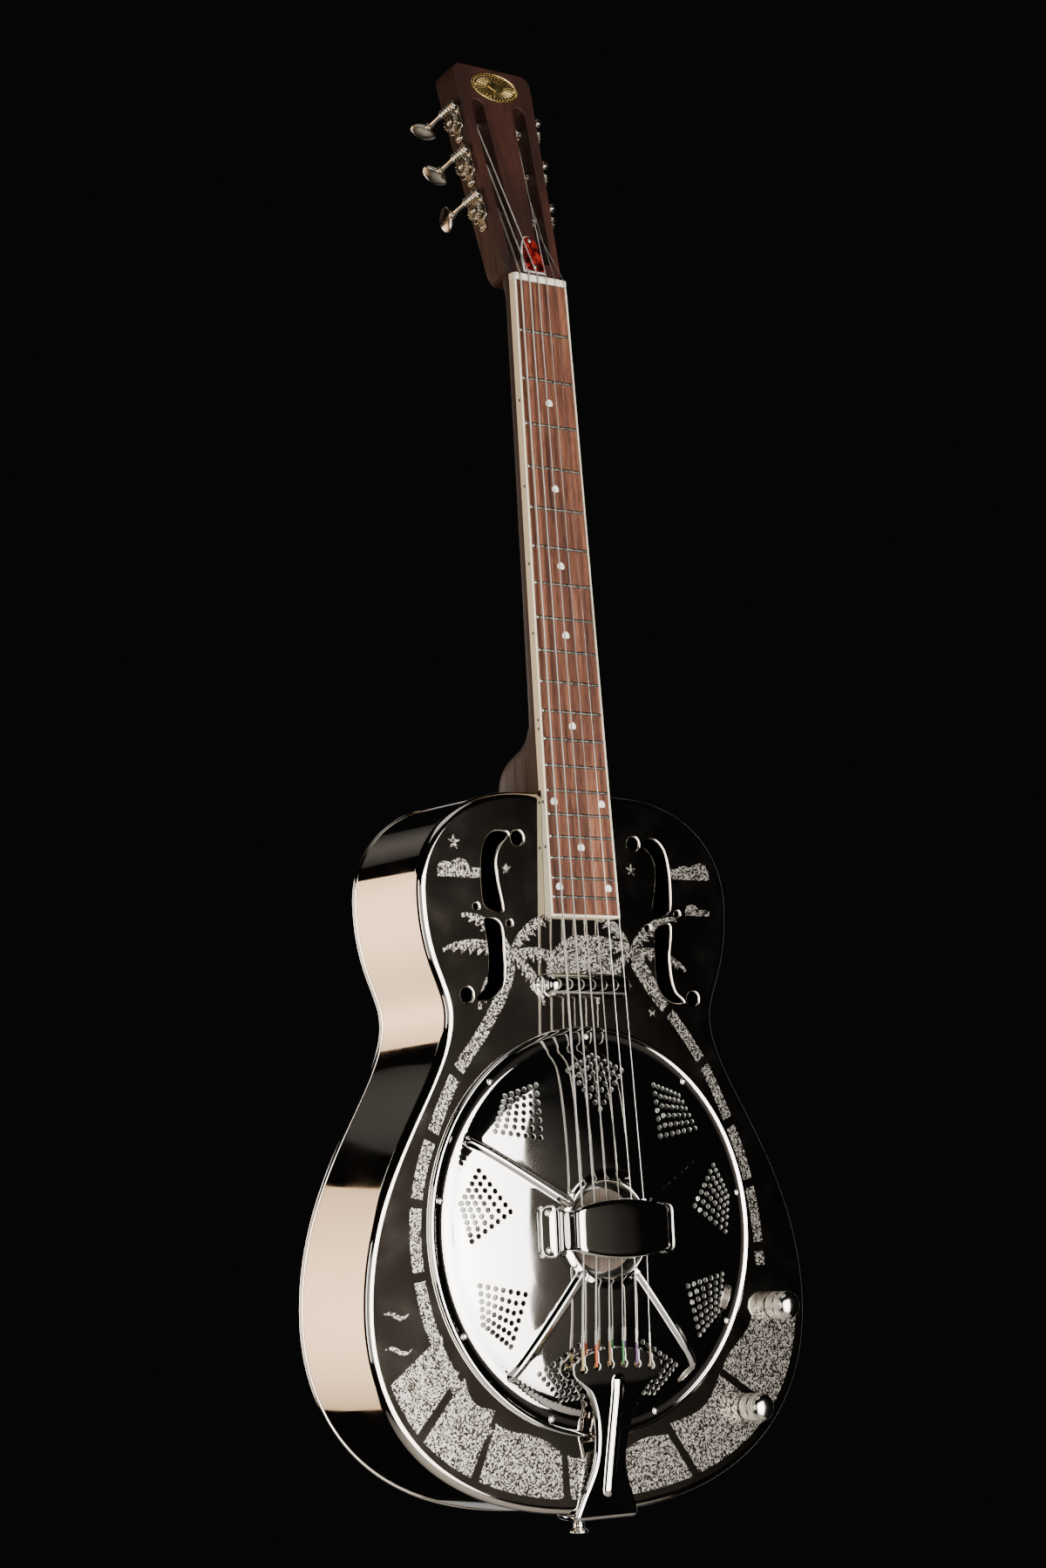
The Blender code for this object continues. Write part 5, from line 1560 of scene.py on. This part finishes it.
def make_tuners():
    brackets = {1: tuner_bracket(-1), -1: tuner_bracket(1)}
    gear = Shape()
    gear.join(gear_wheel(), spin(-PI / 2))
    worm, button = worm_screw(), tuner_button()
    wood_screw = screw(2.0, 1.1, 0.5)
    gear_screw = screw(2.5, 1.3, 0.6)
    post = spun([(2.4, -22.6), (2.9, -22.2), (POST_RADIUS, -21.8), (POST_RADIUS, 2.9), (3.4, 3.0),
                 (3.4, 3.1)], 28)
    washer = spun([(3.3, 6.0), (3.3, 6.35), (3.0, 6.5), (2.7, 6.5), (2.7, 6.05)], 24)
    ring = spun([(3.15, 0.0), (4.4, 0.0), (4.4, 0.5), (4.0, 0.8), (3.15, 0.8)], 24, True)
    for number in range(1, 7):
        side, s, place = tuner_frame(number)
        up = -side
        on_post, on_key = f"tuner_post_{number}", f"tuner_key_{number}"
        piece(f"tuner_bracket_{number}", brackets[side], AGED, [f"tuner_plate_{number}"], place=place)
        for end, v in (("top", 15.2), ("foot", -12.2)):
            spot = place @ at(1.35, up * v, 0) @ FACING_RIGHT @ spin(number * 0.7 + v)
            piece(f"tuner_screw_{number}_{end}", wood_screw, AGED, place=spot)
        piece(f"tuner_wheel_{number}", gear, AGED, [f"tuner_gear_{number}"], on_post, place)
        spot = place @ FACING_RIGHT
        piece(f"string_post_{number}", post, AGED, (), on_post, spot, 50)
        piece(f"gear_washer_{number}", washer, DARK_METAL_SHADE, (), on_post, spot)
        piece(f"gear_screw_{number}", gear_screw, AGED, (), on_post, place @ at(6.2, 0, 0) @ FACING_RIGHT)
        spot = place @ at(WORM_X, up * WORM_OFFSET, 0)
        piece(f"tuner_thread_{number}", worm, AGED, [f"tuner_worm_{number}"], on_key, spot, 60)
        turned = spot @ spin(math.radians(BUTTON_ANGLES[number - 1]))
        piece(f"tuner_knob_{number}", button, AGED, [f"tuner_button_{number}"], on_key, turned, 60)
        inner_wall = head_half_width(s) - slot_centre(s) - SLOT_HALF_WIDTH
        piece(f"post_ring_{number}", ring, AGED, place=place @ at(-inner_wall - 0.8, 0, 0) @ FACING_RIGHT)


WRAPS = 3.25  # turns of wire round each post
END_STEPS = 60  # along a string's wound end


def make_strings():
    ball = spun([(0.9, -1.5), (1.7, -1.5), (1.9, -1.2), (1.9, 1.2), (1.7, 1.5), (0.9, 1.5)], 20, True)
    for number in range(1, 7):
        radius = STRING_RADII[number - 1]
        side, s, place = tuner_frame(number)
        x0 = string_x(number, TAIL_PITCH)
        start = Vector((x0, -17.6, tail_hole_z(x0) - 0.4))
        lip = Vector((x0, -18.3, tail_front_edge(x0)))
        saddle = Vector((string_x(number, SADDLE_PITCH), STRING_Y_SADDLE, SADDLE_Z))
        nut = Vector((string_x(number, NUT_PITCH), 8.5, NUT_Z + 3.2))
        after_nut = Vector((string_x(number, NUT_PITCH), 9.1, NUT_Z + 5.2))
        wrap_x = side * (slot_centre(s) - (0 if number in (3, 4) else 1))
        reach = POST_RADIUS + radius + 0.04
        local = place.inverted() @ head_point(wrap_x, s, TUNER_DEPTH)
        coil = []
        count = int(WRAPS * 20)
        for k in range(count + 1):
            turn = TURN * WRAPS * k / count
            x = local.x + (2 * radius + 0.06) * turn / TURN
            coil.append(place @ Vector((x, -side * reach * math.sin(turn), -reach * math.cos(turn))))
        route = [start, lip]
        route += [lip.lerp(saddle, t) for t in (0.06, 0.12, 0.16, 0.17, 0.5, 0.9, 0.99)]
        thick = [radius + 0.28] * 5
        route.append(saddle)
        route += [saddle.lerp(nut, t) for t in (0.01, 0.1, 0.5, 0.9, 0.995)]
        route += [nut, after_nut]
        route += [after_nut.lerp(coil[0], t) for t in (0.05, 0.5, 0.95)]
        route += coil
        metal = WOUND.get(number, WIRE)
        radii = thick + [radius] * (len(route) - len(thick))
        piece(f"steel_string_{number}", tube(route, radius, 12, radii), metal, [f"string_{number}"], angle=80)
        # The twisted and wound end by the ball, and the ball behind the plate
        along = (saddle - lip).normalized()
        winding = []
        radii = []
        for k in range(END_STEPS + 1):
            share = k / END_STEPS
            here = start.lerp(lip, min(share * 2, 1)) if share < 0.5 else lip + along * (share - 0.5) * 9
            winding.append(here)
            radii.append(radius + 0.36 + 0.08 * math.sin(share * 60 * 1.2))
        piece(f"string_winding_{number}", tube(winding, 1, 12, radii), SILKS[number], angle=80)
        piece(f"string_ball_{number}", ball, BRASS,
              place=at(x0, -13.2, tail_hole_z(x0) - 0.6) @ FACING_RIGHT)


WOUND = {number: wound_wire(f"wound_string_{number}", (0.74, 0.71, 0.66), pitch)
         for number, pitch in ((3, 0.16), (4, 0.22), (5, 0.28), (6, 0.34))}


def silk(name, color):
    mat, shader = new_material(name, color, 0.5, 0.3)
    twist = noise(mat, coords(mat), 2200.0, 2.0)
    tint(mat, shader, twist, [(0.35, [c * 0.4 for c in color]), (0.6, color)])
    bump(mat, shader, twist, 0.5, 0.0002)
    return mat


END_COLORS = ((6, "brass", (0.55, 0.42, 0.20)), (5, "orange", (0.60, 0.12, 0.04)),
              (4, "brown", (0.34, 0.19, 0.10)), (3, "green", (0.06, 0.30, 0.10)),
              (2, "violet", (0.22, 0.09, 0.30)), (1, "straw", (0.52, 0.44, 0.28)))
SILKS = {number: silk(f"end_winding_{name}", color) for number, name, color in END_COLORS}

# ---------------------------------------------------------------- pickup, knobs and socket


def make_pickup():
    """The tube pickup: a chromed shell with rounded ends on a base plate with two screwed ears."""
    axis_y, radius, cut_y = -3.5, 8.0, -1.35
    ends = []
    for k in range(9):
        turn = PI / 2 * k / 8
        ends.append((35 - 5.5 * (1 - math.sin(turn)), radius - 5.5 * (1 - math.cos(turn))))
    stations = mirrored([(35.0, 0.6), *reversed(ends)])
    open_angle = math.acos((cut_y - axis_y) / radius)
    shape = Shape()
    rings = []
    for x, size in stations:
        turns = [open_angle + (TURN - 2 * open_angle) * k / 40 for k in range(41)]
        ring = []
        for turn in turns:
            y = axis_y + size * math.cos(turn)
            ring.append((x, min(y, cut_y), PICKUP_Z + size * math.sin(turn)))
        rings.append(shape.ring(ring))
    for low, high in zip(rings, rings[1:]):
        shape.skin(low, high, closed=False)
        shape.face((low[-1], low[0], high[0], high[-1]))
    shape.face(reversed(rings[0]))
    shape.face(rings[-1])
    piece("pickup_shell", shape, CHROME, ["pickup_cover"], angle=40)
    outline = []
    for side in (1, -1):
        outline += arc(side * 37.8, PICKUP_Z, 5.2, -side * PI / 2, PI, 16)
    piece("pickup_plate", slab(outline, [], -1.3, -0.15, 0.4, 2), CHROME, ["pickup_base"])
    for side in (-1, 1):
        place = at(side * 39.2, -1.25, PICKUP_Z) @ FACING_FRONT @ spin(0.6 * side)
        piece(f"pickup_screw_{SIDE_NAMES[side]}", screw(2.5, 1.7, 0.6), PLATED, place=place)


def knurled_knob():
    """A domed knob with two diamond-knurled bands parted by a groove, its axis along local Z."""
    count = 168
    ridges = 42

    def saw(value):
        return abs((value % 1) * 2 - 1)

    stations = [(0.6, 3.0, 0), (0.6, 8.8, 0), (0.9, 9.1, 0)]
    for low, high in ((1.3, 7.8), (9.4, 14.6)):
        rows = int((high - low) / 0.42)
        stations.append((low - 0.25, 9.05, 0))
        stations += [(low + (high - low) * k / rows, 9.2, 1) for k in range(rows + 1)]
        stations.append((high + 0.25, 9.05, 0))
        if low < 5:
            stations += [(8.3, 8.75, 0), (8.9, 8.75, 0)]
    stations += [(15.2, 9.1, 0), (15.8, 8.95, 0), (16.5, 8.6, 0), (17.2, 8.0, 0), (17.9, 7.1, 0),
                 (18.5, 6.0, 0), (19.0, 4.6, 0), (19.35, 3.0, 0), (19.55, 1.4, 0), (19.6, 0.15, 0)]
    rings = []
    for height, radius, knurl in stations:
        ring = []
        for k in range(count):
            turn = k / count
            size = radius
            if knurl:
                size += 0.4 * min(saw(turn * ridges + height * 0.6), saw(turn * ridges - height * 0.6))
            ring.append((size * math.cos(TURN * turn), size * math.sin(TURN * turn), height))
        rings.append(ring)
    shape = rings_shape(rings)
    for k, (low, high) in enumerate(zip(stations, stations[1:])):
        if low[2] and high[2]:
            for j in range(count):
                shape.slots[k * count + j] = 1
    return shape


def make_controls():
    knob = knurled_knob()
    washer = spun([(3.8, 0.02), (7.2, 0.02), (7.2, 0.35), (6.9, 0.5), (3.8, 0.5)], 32, True)
    for name, (x, z) in KNOB_CENTRES.items():
        place = at(x, 0, z) @ FACING_FRONT
        piece(f"{name}_cap", knob, [PLATED, KNURLED], [f"{name}_knob"], f"{name}_control", place=place,
              angle=40)
        piece(f"{name}_washer", washer, PLATED, place=place)


def make_jack():
    face = LOWER_BOUT[0] - 1.0
    place = at(0, 40, -50) @ FACING_RIGHT
    plate = [(3.4, face - 6), (5.0, face - 6), (5.0, face + 0.05), (9.6, face + 0.05), (9.9, face + 0.35),
             (9.6, face + 0.8), (6.6, face + 0.95), (6.4, face + 1.0), (3.4, face + 1.0)]
    piece("jack_washer", spun(plate, 48, True), CHROME, ["output_jack"], place=place, angle=40)
    nut = slab(circle(0, 0, 6.6, 6), [circle(0, 0, 4.6, 32)], 0, 1.5, 0.3, 2)
    turn = place @ at(0, 0, face + 2.5) @ Matrix.Rotation(PI / 2, 4, "X")
    piece("jack_nut", nut, CHROME, place=turn)
    barrel = [(3.4, face - 18), (4.5, face - 18), (4.5, face + 3.0), (4.2, face + 3.3), (3.7, face + 3.3),
              (3.4, face + 3.0)]
    piece("jack_barrel", spun(barrel, 36, True), PLATED, place=place, angle=40)


# ---------------------------------------------------------------- CAD nodes that keep their shape


def dress_nodes():
    looks = {"fretboard": ROSEWOOD, "fretboard_binding": IVORY, "biscuit": MAPLE_IN_SHADE, "saddle": MAPLE_IN_SHADE,
             "cone": CONE, "sound_well": STEEL, "neck_stick": MAHOGANY, "truss_rod": STEEL,
             "biscuit_screw": STEEL, "pickup_coil": COPPER, "volume_pot": STEEL, "tone_pot": STEEL,
             "volume_shaft": STEEL, "tone_shaft": STEEL}
    for name, mat in looks.items():
        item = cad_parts[name]
        for entry in item.material_slots:
            entry.material = mat
        if not item.material_slots:
            item.data.materials.append(mat)
    for name, width in (("fretboard_binding", 0.35), ("biscuit", 0.6), ("saddle", 0.4)):
        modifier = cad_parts[name].modifiers.new("Soft edges", "BEVEL")
        modifier.width = width * MM
        modifier.segments = 2
        modifier.limit_method = "ANGLE"
        modifier.angle_limit = math.radians(40)


# ---------------------------------------------------------------- camera, floor and light


# Fitted to the photograph: place in metres, angles about Z, X and Y in degrees, and lens in millimetres
CAMERA_PLACE = (-1.3858, -1.7520, -0.6655)
CAMERA_ANGLES = (-37.881, 8.202, 2.507)
LENS = 75.74


def make_camera():
    camera = bpy.data.cameras.new("camera")
    camera.sensor_fit = "VERTICAL"
    camera.sensor_height = 36.0
    camera.lens = LENS
    camera.clip_end = 100
    item = add_object("camera", camera)
    heading_angle, lift, roll = (math.radians(angle) for angle in CAMERA_ANGLES)
    turn = spin(heading_angle) @ Matrix.Rotation(lift, 4, "X") @ Matrix.Rotation(roll, 4, "Y")
    looking = Matrix.Rotation(PI / 2, 4, "X")  # a camera looks down its own -Z, and this turns that to +Y
    item.matrix_world = Matrix.Translation(CAMERA_PLACE) @ turn @ looking
    bpy.context.scene.camera = item


MIDDLE = (0, 0, -0.65)
# Each light's name, place, target, width, height, power, colour and spread in degrees
LIGHTS = (("front_softbox", (0.09, -2.05, -1.12), (0.09, 0, -1.12), 1.98, 2.6, 68, (1.0, 0.95, 0.89), 105),
          ("front_fill", (1.30, -3.1, -0.80), MIDDLE, 2.4, 3.0, 0.14, (1.0, 0.86, 0.72), 38),
          ("back_left_softbox", (-1.25, 1.15, -0.76), (0, 0, -0.76), 1.5, 2.0, 12, (1.0, 0.68, 0.42), 100),
          ("side_softbox", (-2.3, -0.9, -0.6), MIDDLE, 0.5, 1.8, 4, (1.0, 0.96, 0.90), 100),
          ("top_softbox", (-0.3, -0.7, 1.5), (0, 0, -0.3), 1.4, 1.2, 1.5, (1.0, 0.98, 0.95), 110),
          ("back_fill", (-0.3, 2.2, 1.3), (0, 0, -0.6), 1.4, 1.0, 0.03, (1.0, 0.93, 0.86), 40),
          ("rear_softbox", (-0.2, 2.6, -0.60), MIDDLE, 0.5, 1.8, 4, (1.0, 0.97, 0.93), 80),
          ("camera_fill", (-2.4, -3.0, -0.70), MIDDLE, 2.2, 2.2, 2.5, (1.0, 0.97, 0.94), 100),
          ("back_right_softbox", (1.6, 1.6, -0.60), MIDDLE, 1.2, 1.8, 0.9, (1.0, 0.97, 0.94), 100))
FLOOR_Z = -2.3


def soft_light(name, place, target, width, height, power, color, spread_angle):
    light = bpy.data.lights.new(name, "AREA")
    light.shape = "RECTANGLE"
    light.size = width
    light.size_y = height
    light.energy = power
    light.color = color
    light.spread = math.radians(spread_angle)
    item = add_object(name, light)
    item.location = place
    way = Vector(target) - Vector(place)
    item.rotation_euler = way.to_track_quat("-Z", "Y").to_euler()
    item.visible_camera = False


def make_studio():
    world = bpy.data.worlds.new("studio")
    world.use_nodes = True
    world.node_tree.nodes["Background"].inputs["Color"].default_value = (0.0035, 0.0033, 0.0032, 1)
    bpy.context.scene.world = world
    for row in LIGHTS:
        soft_light(*row)
    floor = bpy.data.meshes.new("floor")
    edge = [(x, y, FLOOR_Z) for x, y in circle(0, 0, 1.7, 96)]
    floor.from_pydata(edge, [], [list(range(len(edge)))])
    item = add_object("floor", floor)
    floor.materials.append(new_material("pale_floor", (0.72, 0.71, 0.69), 0.6)[0])


make_camera()
make_studio()
make_body()
make_coverplate()
make_cover_screws()
make_handrest()
make_tailpiece()
make_neck()
make_frets()
make_nut()
make_head_trim()
make_tuners()
make_strings()
make_pickup()
make_controls()
make_jack()
dress_nodes()
